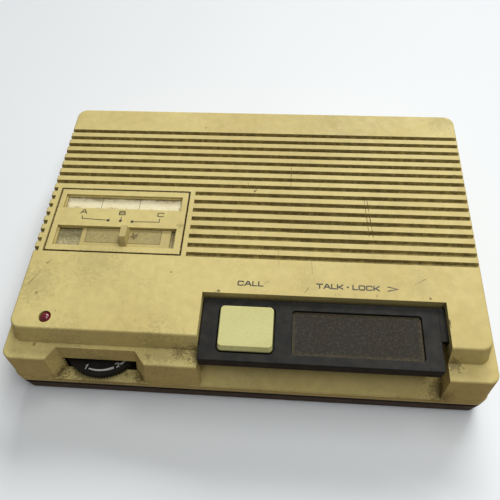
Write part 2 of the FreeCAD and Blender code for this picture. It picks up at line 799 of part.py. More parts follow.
def well_shell():
    """Walls and floor round the talk recess, before the recess is cut."""
    x0, x1 = WELL_X0 - WELL_WALL, WELL_X1 + WELL_WALL
    outline = (
        (FRONT_Y - FACE_LEAN, SEAM_Z),
        (FRONT_Y + WALL, SEAM_Z),
        (FRONT_Y + RAMP_BACK_D + WALL, WELL_UNDER_Z),
        (WELL_BACK_Y + WELL_WALL, WELL_UNDER_Z),
        (WELL_BACK_Y + WELL_WALL, CEILING_Z + OVERRUN),
        (PLATEAU_Y + WALL, CEILING_Z + OVERRUN),
        (FRONT_Y + SHELF_EDGE_R + WALL, SHELF_Z - WALL / 2),
        (FRONT_Y, SHELF_Z - SHELF_EDGE_R - WALL),
    )
    return prism_x(outline, x0, x1)


def well_cut():
    """The talk recess: a floor, and a ramp that runs out to the lip."""
    outline = (
        (FRONT_Y - FACE_LEAN - LIP_PROUD, LIP_Z),
        (FRONT_Y + RAMP_BACK_D, WELL_FLOOR_Z),
        (WELL_BACK_Y, WELL_FLOOR_Z),
        (WELL_BACK_Y, TOP_Z + OVERRUN),
        (FRONT_Y - FACE_LEAN - OVERRUN, TOP_Z + OVERRUN),
        (FRONT_Y - FACE_LEAN - OVERRUN, LIP_Z),
    )
    return prism_x(outline, WELL_X0, WELL_X1)


def tab_window():
    """Window in the right wall of the recess for the tab of the talk bar."""
    low = TAB_TOP_Z - TAB_T - TALK_TRAVEL - STOP_GAP
    high = TAB_TOP_Z + STOP_GAP
    y0 = TAB_Y0 - STOP_GAP
    y1 = TAB_Y1 + STOP_GAP
    return box(WELL_X1 - OVERRUN, WELL_X1 + WELL_WALL + OVERRUN, y0, y1, low, high)


def thumb_outline(z, grow, depth):
    """Corners of the thumb recess at a height: front left, front right, back right, back left."""
    down = (SHELF_Z - z) / FACE_H
    y0 = FRONT_Y - FACE_LEAN - OVERRUN
    y1 = FRONT_Y + depth - THUMB_LEAN * down
    left = THUMB_X - THUMB_HALF + THUMB_LEFT_DRAFT * down - grow
    right = THUMB_X + THUMB_HALF - THUMB_RIGHT_DRAFT * down + grow
    ahead_0, ahead_1 = FRONT_Y + THUMB_D - y0, FRONT_Y + THUMB_D - y1
    return (
        (left - THUMB_LEFT_SPLAY * ahead_0, y0, z),
        (right + THUMB_RIGHT_SPLAY * ahead_0, y0, z),
        (right + THUMB_RIGHT_SPLAY * ahead_1, y1, z),
        (left - THUMB_LEFT_SPLAY * ahead_1, y1, z),
    )


def thumb_shell():
    """Walls round the thumb recess, before it is cut."""
    low = thumb_outline(LIP_Z - WALL, WALL, THUMB_D + THUMB_BACK_WALL)
    block = tapered(low, thumb_outline(SHELF_Z - WALL / 2, WALL, THUMB_D + THUMB_BACK_WALL))
    return block.common(between(at_height(FACE_LINE, SEAM_Z), at_height(SHELF_LINE, SHELF_Z)))


def thumb_cut():
    """The thumb recess, whose walls draw in towards its floor."""
    return tapered(thumb_outline(LIP_Z, 0, THUMB_D), thumb_outline(SHELF_Z + OVERRUN, 0, THUMB_D))


def thumb_mouth():
    """Opening as wide as the back of the thumb recess, through which the wheel stands out."""
    y0 = thumb_outline(LIP_Z, 0, THUMB_D)[2][1]
    y1 = FRONT_Y + THUMB_D + WALL + OVERRUN
    ends = []
    for z in (SEAM_Z - OVERRUN, LIP_Z + THUMB_MOUTH_H):
        (x1, _, _), (x0, _, _) = thumb_outline(z, 0, THUMB_D)[2:]
        ends.append(((x0, y0, z), (x1, y0, z), (x1, y1, z), (x0, y1, z)))
    return tapered(*ends)


def upper_casing():
    """Upper shell with its grille, recesses, posts and bosses."""
    block = case_block()
    shell = block.cut(case_cavity())
    posts = [disc(x, y, SEAM_Z, CEILING_Z + OVERRUN, CASE_POST_R) for x, y in POSTS]
    bosses = [disc(x, y, BASKET_Z, CEILING_Z + OVERRUN, BOSS_R) for x, y in CLAMPS]
    guides = [disc(x, BAR_Y, WELL_UNDER_Z - BUSHING_H, WELL_FLOOR_Z, POST_R + BUSHING_WALL) for x in POST_XS]
    shell = shell.fuse(posts + bosses + guides + [well_shell().common(block), thumb_shell(), inlet_pad()])
    cuts = ribbed_top_cuts()
    cuts += [well_cut(), tab_window(), thumb_cut(), thumb_mouth()]
    cuts += [disc(x, y, SEAM_Z - OVERRUN, SEAM_Z + CASE_SCREW_L, SCREW_R) for x, y in POSTS]
    cuts += [disc(x, y, BASKET_Z - OVERRUN, CEILING_Z + OVERRUN, SMALL_SCREW_R) for x, y in CLAMPS]
    guide_low = WELL_UNDER_Z - BUSHING_H - OVERRUN
    cuts += [disc(x, BAR_Y, guide_low, TOP_Z, POST_R + RUN_GAP) for x in POST_XS]
    cuts.append(disc(PLUNGER_X, BAR_Y, WELL_UNDER_Z - OVERRUN, TOP_Z, PLUNGER_R + STOP_GAP))
    cuts.append(disc(LED_X, LED_Y, SHELF_Z, TOP_Z + OVERRUN, LED_HOLE_R))
    cuts.append(
        plate(
            BEZEL_X0 - BEZEL_GAP, BEZEL_X1 + BEZEL_GAP, BEZEL_Y0 - BEZEL_GAP, BEZEL_Y1 + BEZEL_GAP,
            BEZEL_LOW_Z, TOP_Z + OVERRUN, BEZEL_R + BEZEL_GAP,
        )
    )
    cuts.append(
        box(
            BEZEL_X0 + BEZEL_SHELF, BEZEL_X1 - BEZEL_SHELF, BEZEL_Y0 + BEZEL_SHELF, BEZEL_Y1 - BEZEL_SHELF,
            CEILING_Z - OVERRUN, TOP_Z,
        )
    )
    inlet = Part.makeCylinder(
        BUSH_BODY_R + SEAT_GAP, 2 * LEDGE_W + 2 * WALL + OVERRUN,
        Vector(BUSH_X, LIP_BACK_Y + OVERRUN, BUSH_Z), Vector(0, -1, 0)
    )
    cuts.append(inlet)
    return shell.cut(cuts).removeSplitter()


def base_tray():
    """Lower shell with its floor, tongue, screw posts and standoffs."""
    block = soften(between(SOLE_LINE, RIM_LINE), SHELF_EDGE_R, level_at(FOOT_H))
    block = block.fuse(between(REVEAL_LINE, at_height(REVEAL_LINE, SEAM_Z)))
    hollow_low = at_height(inset(SOLE_LINE, BASE_WALL), FLOOR_Z)
    hollow_high = at_height(inset(RIM_LINE, BASE_WALL), SEAM_Z + OVERRUN)
    tray = block.cut(between(hollow_low, hollow_high))
    tongue_line = at_height(inset(FACE_LINE, WALL + TONGUE_GAP), SEAM_Z - TONGUE_H)
    root_line = at_height(inset(RIM_LINE, BASE_WALL - TONGUE_T / 2), SEAM_Z - TONGUE_H)
    tongue = between(tongue_line, at_height(tongue_line, SEAM_Z + TONGUE_H))
    tongue = tongue.fuse(between(root_line, at_height(root_line, SEAM_Z)))
    tongue_in = inset(tongue_line, TONGUE_T)
    tongue = tongue.cut(between(tongue_in, at_height(tongue_in, SEAM_Z + TONGUE_H)))
    x0, x1, y0 = RIM_LINE[:3]
    tongue = tongue.cut(box(x0, x1, y0, FRONT_Y + SHELF_D + WALL, FLOOR_Z, TOP_Z))
    adds = [disc(x, y, FOOT_H, SEAM_Z, CASE_POST_R) for x, y in POSTS]
    adds += [disc(x, y, FOOT_H, BOARD_Z, BOARD_POST_R) for x, y in BOARD_POSTS]
    adds += [disc(x, CORE_Y, FOOT_H, STRAP_FOOT_Z, STRAP_BOSS_R) for x in STRAP_FEET]
    adds += [disc(x, BAR_Y, FOOT_H, TALK_EAR_Z, SMALL_HEAD_R) for x in talk_ears()]
    tray = tray.fuse(adds + [tongue])
    cuts = [disc(x, y, FOOT_H - OVERRUN, SEAM_Z + OVERRUN, SCREW_R + SEAT_GAP) for x, y in POSTS]
    cuts += [disc(x, y, FOOT_H - OVERRUN, FOOT_H + COUNTERBORE, SCREW_HEAD_R + STOP_GAP) for x, y in POSTS]
    cuts += [disc(x, y, FOOT_H - OVERRUN, FOOT_H + FOOT_SEAT, FOOT_R + SEAT_GAP) for x, y in foot_places()]
    cuts += [disc(x, y, BOARD_TOP_Z - SMALL_SCREW_L, TOP_Z, SMALL_SCREW_R) for x, y in BOARD_POSTS]
    strap_top = STRAP_FOOT_Z + STRAP_T
    cuts += [disc(x, CORE_Y, strap_top - SMALL_SCREW_L, TOP_Z, SMALL_SCREW_R) for x in STRAP_FEET]
    ear_top = TALK_EAR_Z + TALK_SWITCH_EAR_T
    cuts += [disc(x, BAR_Y, ear_top - SMALL_SCREW_L, TOP_Z, SMALL_SCREW_R) for x in talk_ears()]
    return tray.cut(cuts).removeSplitter()


def foot_places():
    """Centres of the four feet."""
    x = HALF_TOP - FOOT_IN
    return [(s * x, y) for s in (-1, 1) for y in (FRONT_Y + FOOT_FRONT_D, BACK_Y - FOOT_BACK_IN)]


def rubber_feet():
    """Four tapered feet seated in shallow sockets under the base."""
    feet = []
    for x, y in foot_places():
        tapered = frustum(x, y, 0, FOOT_H, FOOT_R - FOOT_TAPER, FOOT_R)
        feet.append(tapered.fuse(disc(x, y, FOOT_H, FOOT_H + FOOT_SEAT, FOOT_R)).removeSplitter())
    return group(feet)


def case_screws():
    """Four long screws from below, through the base into the posts of the upper shell."""
    seat = FOOT_H + COUNTERBORE
    length = SEAM_Z + CASE_SCREW_L - OVERRUN - seat
    return group([screw(x, y, seat, length, SCREW_HEAD_R, SCREW_HEAD_H, SCREW_R) for x, y in POSTS])


def stepped_hole(x0, x1, y0, y1, rim):
    """Cutter for an opening with a step half way down, at its ends and by a rim at its sides."""
    wide = box(x0, x1, y0, y1, STEP_Z, TOP_Z + OVERRUN)
    narrow = box(x0 + STEP_IN, x1 - STEP_IN, y0 + rim, y1 - rim, BEZEL_LOW_Z - OVERRUN, TOP_Z)
    return wide.fuse(narrow)


def guide_pins():
    """Centres of the pins that hold bezel and guide together."""
    reach = BEZEL_SHELF + GUIDE_PIN_IN
    middle = (SLOT_Y1 + LABEL_Y0) / 2
    return [(x, middle) for x in (BEZEL_X0 + reach, KNOB_X - WIPER_L, BEZEL_X1 - reach)]


def channel_bezel():
    """Flush panel with the label window and the slot of the slide."""
    panel = plate(BEZEL_X0, BEZEL_X1, BEZEL_Y0, BEZEL_Y1, BEZEL_LOW_Z, TOP_Z, BEZEL_R)
    panel = soften(panel, BEZEL_EDGE, level_at(TOP_Z))
    panel = panel.cut(
        [
            stepped_hole(LABEL_X0, LABEL_X1, LABEL_Y0, LABEL_Y1, STEP_IN),
            stepped_hole(SLOT_X0, SLOT_X1, SLOT_Y0, SLOT_Y1, 0),
            label_plate(BEZEL_LOW_Z - OVERRUN, LENS_TOP_Z, LENS_GAP),
        ]
    )
    head_low = GUIDE_LOW_Z - GUIDE_PIN_HEAD_H
    pins = [disc(x, y, head_low, TOP_Z - STEP_DEPTH, GUIDE_PIN_R) for x, y in guide_pins()]
    heads = [disc(x, y, head_low, GUIDE_LOW_Z, GUIDE_PIN_HEAD_R) for x, y in guide_pins()]
    return panel.fuse(pins + heads).removeSplitter()


def label_plate(z0, z1, more=0):
    """Plate of the size shared by the label card and its window, or larger all round."""
    side = LENS_MARGIN - STEP_IN + more
    x0, x1, y0, y1 = LABEL_X0 - side, LABEL_X1 + side, LABEL_Y0 - side, LABEL_Y1 + side
    return plate(x0, x1, y0, y1, z0, z1, LENS_CORNER_R + more)


def label_window():
    """Clear window let into the bezel from below."""
    return label_plate(CARD_TOP_Z, LENS_TOP_Z)


def label_card():
    """Paper card under the window."""
    return label_plate(CARD_TOP_Z - CARD_T, CARD_TOP_Z)


def slide_guide():
    """Plate under the bezel that carries the card and guides the slide."""
    x0, x1 = BEZEL_X0 + BEZEL_SHELF - GUIDE_MARGIN, BEZEL_X1 - BEZEL_SHELF + GUIDE_MARGIN
    y0, y1 = BEZEL_Y0 + BEZEL_SHELF - GUIDE_MARGIN, BEZEL_Y1 - BEZEL_SHELF + GUIDE_MARGIN
    guide = plate(x0, x1, y0, y1, GUIDE_LOW_Z, GUIDE_Z, BEZEL_R)
    pad = label_plate(GUIDE_Z - GUIDE_T / 2, CARD_TOP_Z - CARD_T)
    slot_x0 = KNOB_X - SLIDE_TO_A - STEM_W / 2 - STOP_GAP
    slot_x1 = KNOB_X + SLIDE_TO_C + STEM_W / 2 + STOP_GAP
    half = STEM_D / 2 + STOP_GAP
    slot = box(slot_x0, slot_x1, SLIDE_Y - half, SLIDE_Y + half, GUIDE_LOW_Z - OVERRUN, TOP_Z)
    holes = [disc(x, y, GUIDE_LOW_Z - OVERRUN, TOP_Z, GUIDE_PIN_R + RUN_GAP) for x, y in guide_pins()]
    ears = [disc(x, SLIDE_Y, GUIDE_LOW_Z - OVERRUN, GUIDE_Z, SMALL_SCREW_R) for x in switch_ears()]
    return guide.fuse(pad).cut(holes + ears + [slot]).removeSplitter()


def channel_slide():
    """Slide plate raised into the slot, with its finger knob and the stem that works the switch."""
    under = SLIDE_UNDER_RIM
    runner = box(SLIDE_X0, SLIDE_X1, SLOT_Y0 - under, SLOT_Y1 + under, SLIDE_Z, SLIDE_TOP_Z)
    pad = box(SLIDE_X0, SLIDE_X1, SLOT_Y0 + PAD_GAP, SLOT_Y1 - PAD_GAP, SLIDE_TOP_Z, PAD_TOP_Z)
    x0, x1 = KNOB_X - KNOB_W / 2, KNOB_X + KNOB_W / 2
    y0, y1 = SLOT_Y0 + PAD_GAP + KNOB_END, SLOT_Y1 - PAD_GAP - KNOB_END
    foot = (x0, x1, y0, y1, PAD_TOP_Z, KNOB_R)
    crown = inset((x0, x1, y0 + KNOB_LEAN, y1, PAD_TOP_Z + KNOB_H, KNOB_R), KNOB_TAPER)
    knob = soften(between(foot, crown), KNOB_EDGE, level_at(PAD_TOP_Z + KNOB_H))
    stem = box(
        KNOB_X - STEM_W / 2, KNOB_X + STEM_W / 2, SLIDE_Y - STEM_D / 2, SLIDE_Y + STEM_D / 2,
        STEM_LOW_Z, SLIDE_TOP_Z,
    )
    return runner.fuse([pad, knob, stem]).removeSplitter()


def channel_wiper():
    """Contact block under the stem of the slide."""
    return box(
        KNOB_X - WIPER_L / 2, KNOB_X + WIPER_L / 2, SLIDE_Y - WIPER_D / 2, SLIDE_Y + WIPER_D / 2,
        STEM_LOW_Z - WIPER_T, STEM_LOW_Z,
    )


def switch_ears():
    """Places along X of the two ears of the channel switch."""
    reach = SWITCH_REACH + SWITCH_WALL + EAR_L / 2
    return (SWITCH_X - reach, SWITCH_X + reach)


def channel_switch():
    """Sheet-metal can of the channel switch, screwed up under the guide."""
    half_x = SWITCH_REACH + SWITCH_WALL
    half_y = WIPER_D / 2 + SWITCH_GAP + SWITCH_WALL
    y0, y1 = SLIDE_Y - half_y, SLIDE_Y + half_y
    can = box(SWITCH_X - half_x, SWITCH_X + half_x, y0, y1, SWITCH_LOW_Z, GUIDE_LOW_Z)
    ears = box(
        SWITCH_X - half_x - EAR_L, SWITCH_X + half_x + EAR_L, y0, y1,
        GUIDE_LOW_Z - EAR_T, GUIDE_LOW_Z,
    )
    room = box(
        SWITCH_X - SWITCH_REACH, SWITCH_X + SWITCH_REACH, y0 + SWITCH_WALL, y1 - SWITCH_WALL,
        SWITCH_LOW_Z + SWITCH_WALL, GUIDE_LOW_Z + OVERRUN,
    )
    holes = [disc(x, SLIDE_Y, SWITCH_LOW_Z, GUIDE_Z, SMALL_SCREW_R + SEAT_GAP) for x in switch_ears()]
    return can.fuse(ears).cut([room] + holes).removeSplitter()


def channel_board():
    """Small circuit board soldered under the channel switch."""
    half_x = SWITCH_REACH + SWITCH_WALL + SWITCH_BOARD_OVER
    half_y = WIPER_D / 2 + SWITCH_GAP + SWITCH_WALL + SWITCH_BOARD_OVER
    return box(
        SWITCH_X - half_x, SWITCH_X + half_x, SLIDE_Y - half_y, SLIDE_Y + half_y,
        SWITCH_LOW_Z - SWITCH_BOARD_T, SWITCH_LOW_Z,
    )


def switch_screws():
    """Two screws through the ears of the channel switch into the guide."""
    seat = GUIDE_LOW_Z - EAR_T
    length = EAR_T + GUIDE_T
    return group(
        [screw(x, SLIDE_Y, seat, length, SMALL_HEAD_R, SMALL_HEAD_H, SMALL_SCREW_R) for x in switch_ears()]
    )


def led_lens():
    """Domed lamp with a flat-sided flange that seats under the top wall."""
    flange_z = CEILING_Z - LED_FLANGE_T
    shoulder_z = TOP_Z + LED_PROUD - LED_CAP_H
    cap_r = (LED_R ** 2 + LED_CAP_H ** 2) / (2 * LED_CAP_H)
    flange = disc(LED_X, LED_Y, flange_z, CEILING_Z, LED_FLANGE_R)
    flat_y = LED_Y - LED_HOLE_R
    x0, x1 = LED_X - LED_FLANGE_R, LED_X + LED_FLANGE_R
    flange = flange.cut(box(x0, x1, flat_y - LED_FLANGE_R, flat_y, flange_z, CEILING_Z))
    body = disc(LED_X, LED_Y, flange_z, shoulder_z, LED_R)
    dome = Part.makeSphere(cap_r, Vector(LED_X, LED_Y, shoulder_z + LED_CAP_H - cap_r))
    y0, y1 = LED_Y - LED_FLANGE_R, LED_Y + LED_FLANGE_R
    dome = dome.common(box(x0, x1, y0, y1, shoulder_z, shoulder_z + 2 * LED_CAP_H))
    return flange.fuse([body, dome]).removeSplitter()


def led_leads():
    """Two stiff leads from the lamp down to the main board."""
    top = CEILING_Z - LED_FLANGE_T
    half = LEAD_SPACING / 2
    return group([disc(LED_X + s * half, LED_Y, BOARD_TOP_Z, top, LEAD_R) for s in (-1, 1)])


def volume_wheel():
    """Knurled thumbwheel with a flat seat for the shaft in its hub."""
    points = []
    for index in range(2 * WHEEL_TEETH):
        angle = math.pi * index / WHEEL_TEETH
        radius = WHEEL_R - (index % 2) * TOOTH_DEPTH
        points.append((WHEEL_X + radius * math.cos(angle), WHEEL_Y + radius * math.sin(angle)))
    wheel = prism_z(points, WHEEL_Z, WHEEL_Z + WHEEL_T)
    top = WHEEL_Z + WHEEL_T
    dish = disc(WHEEL_X, WHEEL_Y, top - WHEEL_DISH, top + OVERRUN, WHEEL_R - TOOTH_DEPTH - WHEEL_RIM_W)
    under = ring(
        WHEEL_X, WHEEL_Y, WHEEL_Z, WHEEL_Z + WHEEL_T / 2, WHEEL_R - TOOTH_DEPTH - WHEEL_RIM_W, WHEEL_HUB_R
    )
    return wheel.cut([dish, under, shaft_form(WHEEL_Z, top - WHEEL_DISH, RUN_GAP)]).removeSplitter()


def shaft_form(z0, z1, grow):
    """Round shaft with one flat."""
    shaft = disc(WHEEL_X, WHEEL_Y, z0, z1, SHAFT_R + grow)
    flat_x = WHEEL_X + SHAFT_R - SHAFT_FLAT + grow
    return shaft.cut(box(flat_x, WHEEL_X + 2 * SHAFT_R, WHEEL_Y - 2 * SHAFT_R, WHEEL_Y + 2 * SHAFT_R, z0, z1))


def volume_shaft():
    """Shaft of the volume control, with the pilot of the wheel screw."""
    top = WHEEL_Z + WHEEL_T - WHEEL_DISH
    low = disc(WHEEL_X, WHEEL_Y, BOARD_TOP_Z + SHAFT_SEAT, WHEEL_Z, SHAFT_R)
    pilot = disc(WHEEL_X, WHEEL_Y, WHEEL_Z, top, WHEEL_SCREW_SHANK_R)
    return low.fuse(shaft_form(WHEEL_Z, top, 0)).cut(pilot).removeSplitter()


def wheel_screw():
    """Screw that keeps the wheel on its shaft."""
    seat = WHEEL_Z + WHEEL_T - WHEEL_DISH
    length = WHEEL_T - WHEEL_DISH
    return screw(
        WHEEL_X, WHEEL_Y, seat, length, WHEEL_SCREW_HEAD_R, WHEEL_SCREW_H, WHEEL_SCREW_SHANK_R, False
    )


def volume_pot():
    """Body of the volume control, soldered to the main board."""
    body = disc(WHEEL_X, WHEEL_Y, BOARD_TOP_Z, WHEEL_Z - POT_GAP, POT_R)
    hole = disc(WHEEL_X, WHEEL_Y, BOARD_TOP_Z + SHAFT_SEAT - SLIDE_GAP, WHEEL_Z, SHAFT_R + RUN_GAP)
    return body.cut(hole)


def main_board():
    """Main circuit board on its four standoffs."""
    board = box(BOARD_X0, BOARD_X1, BOARD_Y0, BOARD_Y1, BOARD_Z, BOARD_TOP_Z)
    return board.cut([disc(x, y, BOARD_Z, BOARD_TOP_Z, SMALL_SCREW_R + SEAT_GAP) for x, y in BOARD_POSTS])


def on_board(share):
    """Place on the main board, given as shares of its length and depth."""
    return (
        BOARD_X0 + share[0] * (BOARD_X1 - BOARD_X0),
        BOARD_Y0 + share[1] * (BOARD_Y1 - BOARD_Y0),
    )


def standing(shares, height, radius):
    """Upright round components on the main board."""
    places = [on_board(share) for share in shares]
    return group([disc(x, y, BOARD_TOP_Z, BOARD_TOP_Z + height, radius) for x, y in places])


def board_screws():
    """Four screws of the main board."""
    return group([small_screw(x, y, BOARD_TOP_Z, False) for x, y in BOARD_POSTS])


def tuning_cans():
    """Square screening cans of the tuned circuits, with a core hole on top."""
    cans = []
    for share in CAN_X_SHARES:
        x, y = on_board((share, CAN_D_SHARE))
        half = CAN_W / 2
        can = plate(x - half, x + half, y - half, y + half, BOARD_TOP_Z, BOARD_TOP_Z + CAN_H, TOP_EDGE_R)
        cans.append(can.cut(disc(x, y, BOARD_TOP_Z + CAN_H / 2, BOARD_TOP_Z + CAN_H, CAN_W / 5)))
    return group(cans)


def amplifier_chip():
    """Flat integrated circuit of the amplifier."""
    x, y = on_board(CHIP_SHARE)
    half_x, half_y = CHIP_L / 2, CHIP_W / 2
    return box(x - half_x, x + half_x, y - half_y, y + half_y, BOARD_TOP_Z, BOARD_TOP_Z + CHIP_H)


def resistors():
    """Row of resistors lying on the main board."""
    x, y = on_board(RESISTOR_SHARE)
    row = []
    for index in range(RESISTOR_COUNT):
        start = Vector(x + index * RESISTOR_PITCH, y, BOARD_TOP_Z + RESISTOR_R)
        row.append(Part.makeCylinder(RESISTOR_R, RESISTOR_L, start, Vector(0, 1, 0)))
    return group(row)


def transformer_core():
    """Laminated core with two windows."""
    x0, x1 = CORE_X - CORE_W / 2, CORE_X + CORE_W / 2
    y0, y1 = CORE_Y - CORE_STACK / 2, CORE_Y + CORE_STACK / 2
    core = box(x0, x1, y0, y1, FLOOR_Z, FLOOR_Z + CORE_H)
    low, high = FLOOR_Z + YOKE_W, FLOOR_Z + CORE_H - YOKE_W
    left = box(x0 + YOKE_W, CORE_X - YOKE_W, y0, y1, low, high)
    right = box(CORE_X + YOKE_W, x1 - YOKE_W, y0, y1, low, high)
    return core.cut([left, right])


def transformer_coil():
    """Winding round the middle limb of the core."""
    low, high = FLOOR_Z + YOKE_W + COIL_GAP, FLOOR_Z + CORE_H - YOKE_W - COIL_GAP
    in_x, in_y = YOKE_W + COIL_GAP, CORE_STACK / 2 + COIL_GAP
    out_x = min(in_x + COIL_OUT, CORE_W / 2 - YOKE_W - COIL_GAP)
    out_y = in_y + COIL_OUT
    winding = plate(CORE_X - out_x, CORE_X + out_x, CORE_Y - out_y, CORE_Y + out_y, low, high, TOP_EDGE_R)
    return winding.cut(box(CORE_X - in_x, CORE_X + in_x, CORE_Y - in_y, CORE_Y + in_y, low, high))


def transformer_strap():
    """Bent steel strap that holds the core down."""
    y0, y1 = CORE_Y - STRAP_W / 2, CORE_Y + STRAP_W / 2
    core_x0, core_x1 = CORE_X - CORE_W / 2, CORE_X + CORE_W / 2
    top = FLOOR_Z + CORE_H
    x0, x1 = core_x0 - STRAP_T, core_x1 + STRAP_T
    arch = box(x0, x1, y0, y1, STRAP_FOOT_Z, top + STRAP_T)
    arch = arch.cut(box(core_x0, core_x1, y0, y1, STRAP_FOOT_Z, top))
    feet = [
        box(core_x0 - STRAP_FOOT_L, core_x0, y0, y1, STRAP_FOOT_Z, STRAP_FOOT_Z + STRAP_T),
        box(core_x1, core_x1 + STRAP_FOOT_L, y0, y1, STRAP_FOOT_Z, STRAP_FOOT_Z + STRAP_T),
    ]
    holes = [disc(x, CORE_Y, STRAP_FOOT_Z, TOP_Z, SMALL_SCREW_R + SEAT_GAP) for x in STRAP_FEET]
    return arch.fuse(feet).cut(holes).removeSplitter()


def transformer_screws():
    """Two screws through the feet of the strap."""
    return group([small_screw(x, CORE_Y, STRAP_FOOT_Z + STRAP_T, False) for x in STRAP_FEET])


def speaker_cloth():
    """Dust cloth glued under the grille."""
    half = SPK_R - CLOTH_MARGIN
    return disc(SPK_X, SPK_Y, GASKET_Z, CEILING_Z, half + GASKET_W)


def speaker_gasket():
    """Ring between the cloth and the flange of the loudspeaker."""
    return ring(SPK_X, SPK_Y, FLANGE_Z, GASKET_Z, SPK_R, SPK_R - GASKET_W)


def speaker_frame():
    """Pressed basket of the loudspeaker with windows between its legs, and its lead terminal."""
    flange = ring(SPK_X, SPK_Y, BASKET_Z, FLANGE_Z, SPK_R, BASKET_MOUTH_R - BASKET_T)
    cup = frustum(SPK_X, SPK_Y, BASKET_LOW_Z, BASKET_Z, BASKET_FOOT_R, BASKET_MOUTH_R)
    inner_low = BASKET_LOW_Z + BASKET_T
    inner = frustum(SPK_X, SPK_Y, inner_low, BASKET_Z, BASKET_FOOT_R - BASKET_T, BASKET_MOUTH_R - BASKET_T)
    basket = cup.cut(inner)
    margin = BASKET_H * (1 - BASKET_WINDOW_H_SHARE) / 2
    low, high = BASKET_LOW_Z + margin, BASKET_Z - margin
    band = ring(SPK_X, SPK_Y, low, high, SPK_R, BASKET_FOOT_R)
    half = BASKET_LEG_W / 2
    legs = box(SPK_X - SPK_R, SPK_X + SPK_R, SPK_Y - half, SPK_Y + half, low, high)
    legs = legs.fuse(box(SPK_X - half, SPK_X + half, SPK_Y - SPK_R, SPK_Y + SPK_R, low, high))
    basket = basket.cut(band.cut(legs))
    basket = basket.cut(disc(SPK_X, SPK_Y, BASKET_LOW_Z, inner_low, POLE_R + CONE_T + 2 * STOP_GAP))
    return flange.fuse(basket).removeSplitter()


def speaker_cone():
    """Paper cone with its flat edge and the tube of the voice coil."""
    edge_r = CONE_EDGE_R - GASKET_CONE_GAP
    edge = ring(SPK_X, SPK_Y, FLANGE_Z, FLANGE_Z + CONE_T / 2, edge_r, CONE_MOUTH_R - CONE_T)
    neck_z = FLANGE_Z - CONE_DEPTH
    outer = frustum(SPK_X, SPK_Y, neck_z, FLANGE_Z, CONE_NECK_R, CONE_MOUTH_R)
    inner = frustum(SPK_X, SPK_Y, neck_z, FLANGE_Z, CONE_NECK_R - CONE_T, CONE_MOUTH_R - CONE_T)
    foot = ring(SPK_X, SPK_Y, neck_z - CONE_T, neck_z, CONE_NECK_R, POLE_R + STOP_GAP)
    tube = ring(SPK_X, SPK_Y, neck_z - COIL_TUBE_L, neck_z, POLE_R + STOP_GAP + CONE_T, POLE_R + STOP_GAP)
    return outer.cut(inner).fuse([edge, foot, tube]).removeSplitter()


def speaker_dust_cap():
    """Domed cap over the neck of the cone."""
    seat_z = FLANGE_Z - CONE_DEPTH
    radius = CONE_NECK_R - CONE_T
    ball = (radius ** 2 + CAP_RISE ** 2) / (2 * CAP_RISE)
    centre = Vector(SPK_X, SPK_Y, seat_z + CAP_RISE - ball)
    dome = Part.makeSphere(ball, centre).cut(Part.makeSphere(ball - CONE_T, centre))
    keep = disc(SPK_X, SPK_Y, seat_z, seat_z + CAP_RISE, radius)
    return dome.common(keep)


def speaker_magnet():
    """Magnet ring with its pole plate and centre pole."""
    ring_part = ring(SPK_X, SPK_Y, MAGNET_LOW_Z, BASKET_LOW_Z, MAGNET_R, POLE_R + 2 * STOP_GAP + CONE_T)
    back = disc(SPK_X, SPK_Y, MAGNET_LOW_Z, MAGNET_LOW_Z + MAGNET_PLATE_T, MAGNET_R - MAGNET_PLATE_T)
    pole_top = FLANGE_Z - CONE_DEPTH - COIL_TUBE_L / 2
    pole = disc(SPK_X, SPK_Y, MAGNET_LOW_Z, pole_top, POLE_R)
    return ring_part.fuse([back, pole]).removeSplitter()


def speaker_clamps():
    """Four washers that press the flange of the loudspeaker against its gasket."""
    washers = [disc(x, y, BASKET_Z - CLAMP_T, BASKET_Z, CLAMP_R) for x, y in CLAMPS]
    hole = SMALL_SCREW_R + SEAT_GAP
    return group(
        [washer.cut(disc(x, y, FLOOR_Z, TOP_Z, hole)) for washer, (x, y) in zip(washers, CLAMPS)]
    )


def speaker_screws():
    """Four screws of the loudspeaker."""
    seat = BASKET_Z - CLAMP_T
    length = CEILING_Z - seat
    return group([screw(x, y, seat, length, SMALL_HEAD_R, SMALL_HEAD_H, SMALL_SCREW_R) for x, y in CLAMPS])


def speaker_terminal():
    """Tag strip on the foot of the basket, where the leads are soldered."""
    x1 = SPK_X - MAGNET_R - STOP_GAP
    y0, y1 = SPK_Y - TERMINAL_W / 2, SPK_Y + TERMINAL_W / 2
    return box(x1 - TERMINAL_L, x1, y0, y1, BASKET_LOW_Z - TERMINAL_T, BASKET_LOW_Z)


def inlet_bush():
    """Flanged bush of the mains cord in the back wall."""
    length = 2 * (WALL + LEDGE_W)
    back = Vector(0, -1, 0)
    outer = Vector(BUSH_X, LIP_BACK_Y + BUSH_FLANGE_T, BUSH_Z)
    flange = Part.makeCylinder(BUSH_FLANGE_R, BUSH_FLANGE_T, outer, back)
    body = Part.makeCylinder(BUSH_BODY_R, length, Vector(BUSH_X, LIP_BACK_Y, BUSH_Z), back)
    start = Vector(BUSH_X, LIP_BACK_Y + BUSH_FLANGE_T + OVERRUN, BUSH_Z)
    bore = Part.makeCylinder(BUSH_BORE_R, length + BUSH_FLANGE_T + 2 * OVERRUN, start, back)
    return flange.fuse(body).cut(bore).removeSplitter()


def inlet_nut():
    """Nut that holds the bush from inside."""
    back = Vector(0, -1, 0)
    seat = Vector(BUSH_X, BUSH_SEAT_Y, BUSH_Z)
    points = []
    for index in range(NUT_SIDES):
        angle = 2 * math.pi * index / NUT_SIDES
        points.append(seat + Vector(NUT_R * math.cos(angle), 0, NUT_R * math.sin(angle)))
    nut = Part.Face(Part.makePolygon(points + points[:1])).extrude(back * NUT_T)
    return nut.cut(Part.makeCylinder(BUSH_BODY_R + RUN_GAP, NUT_T, seat, back))


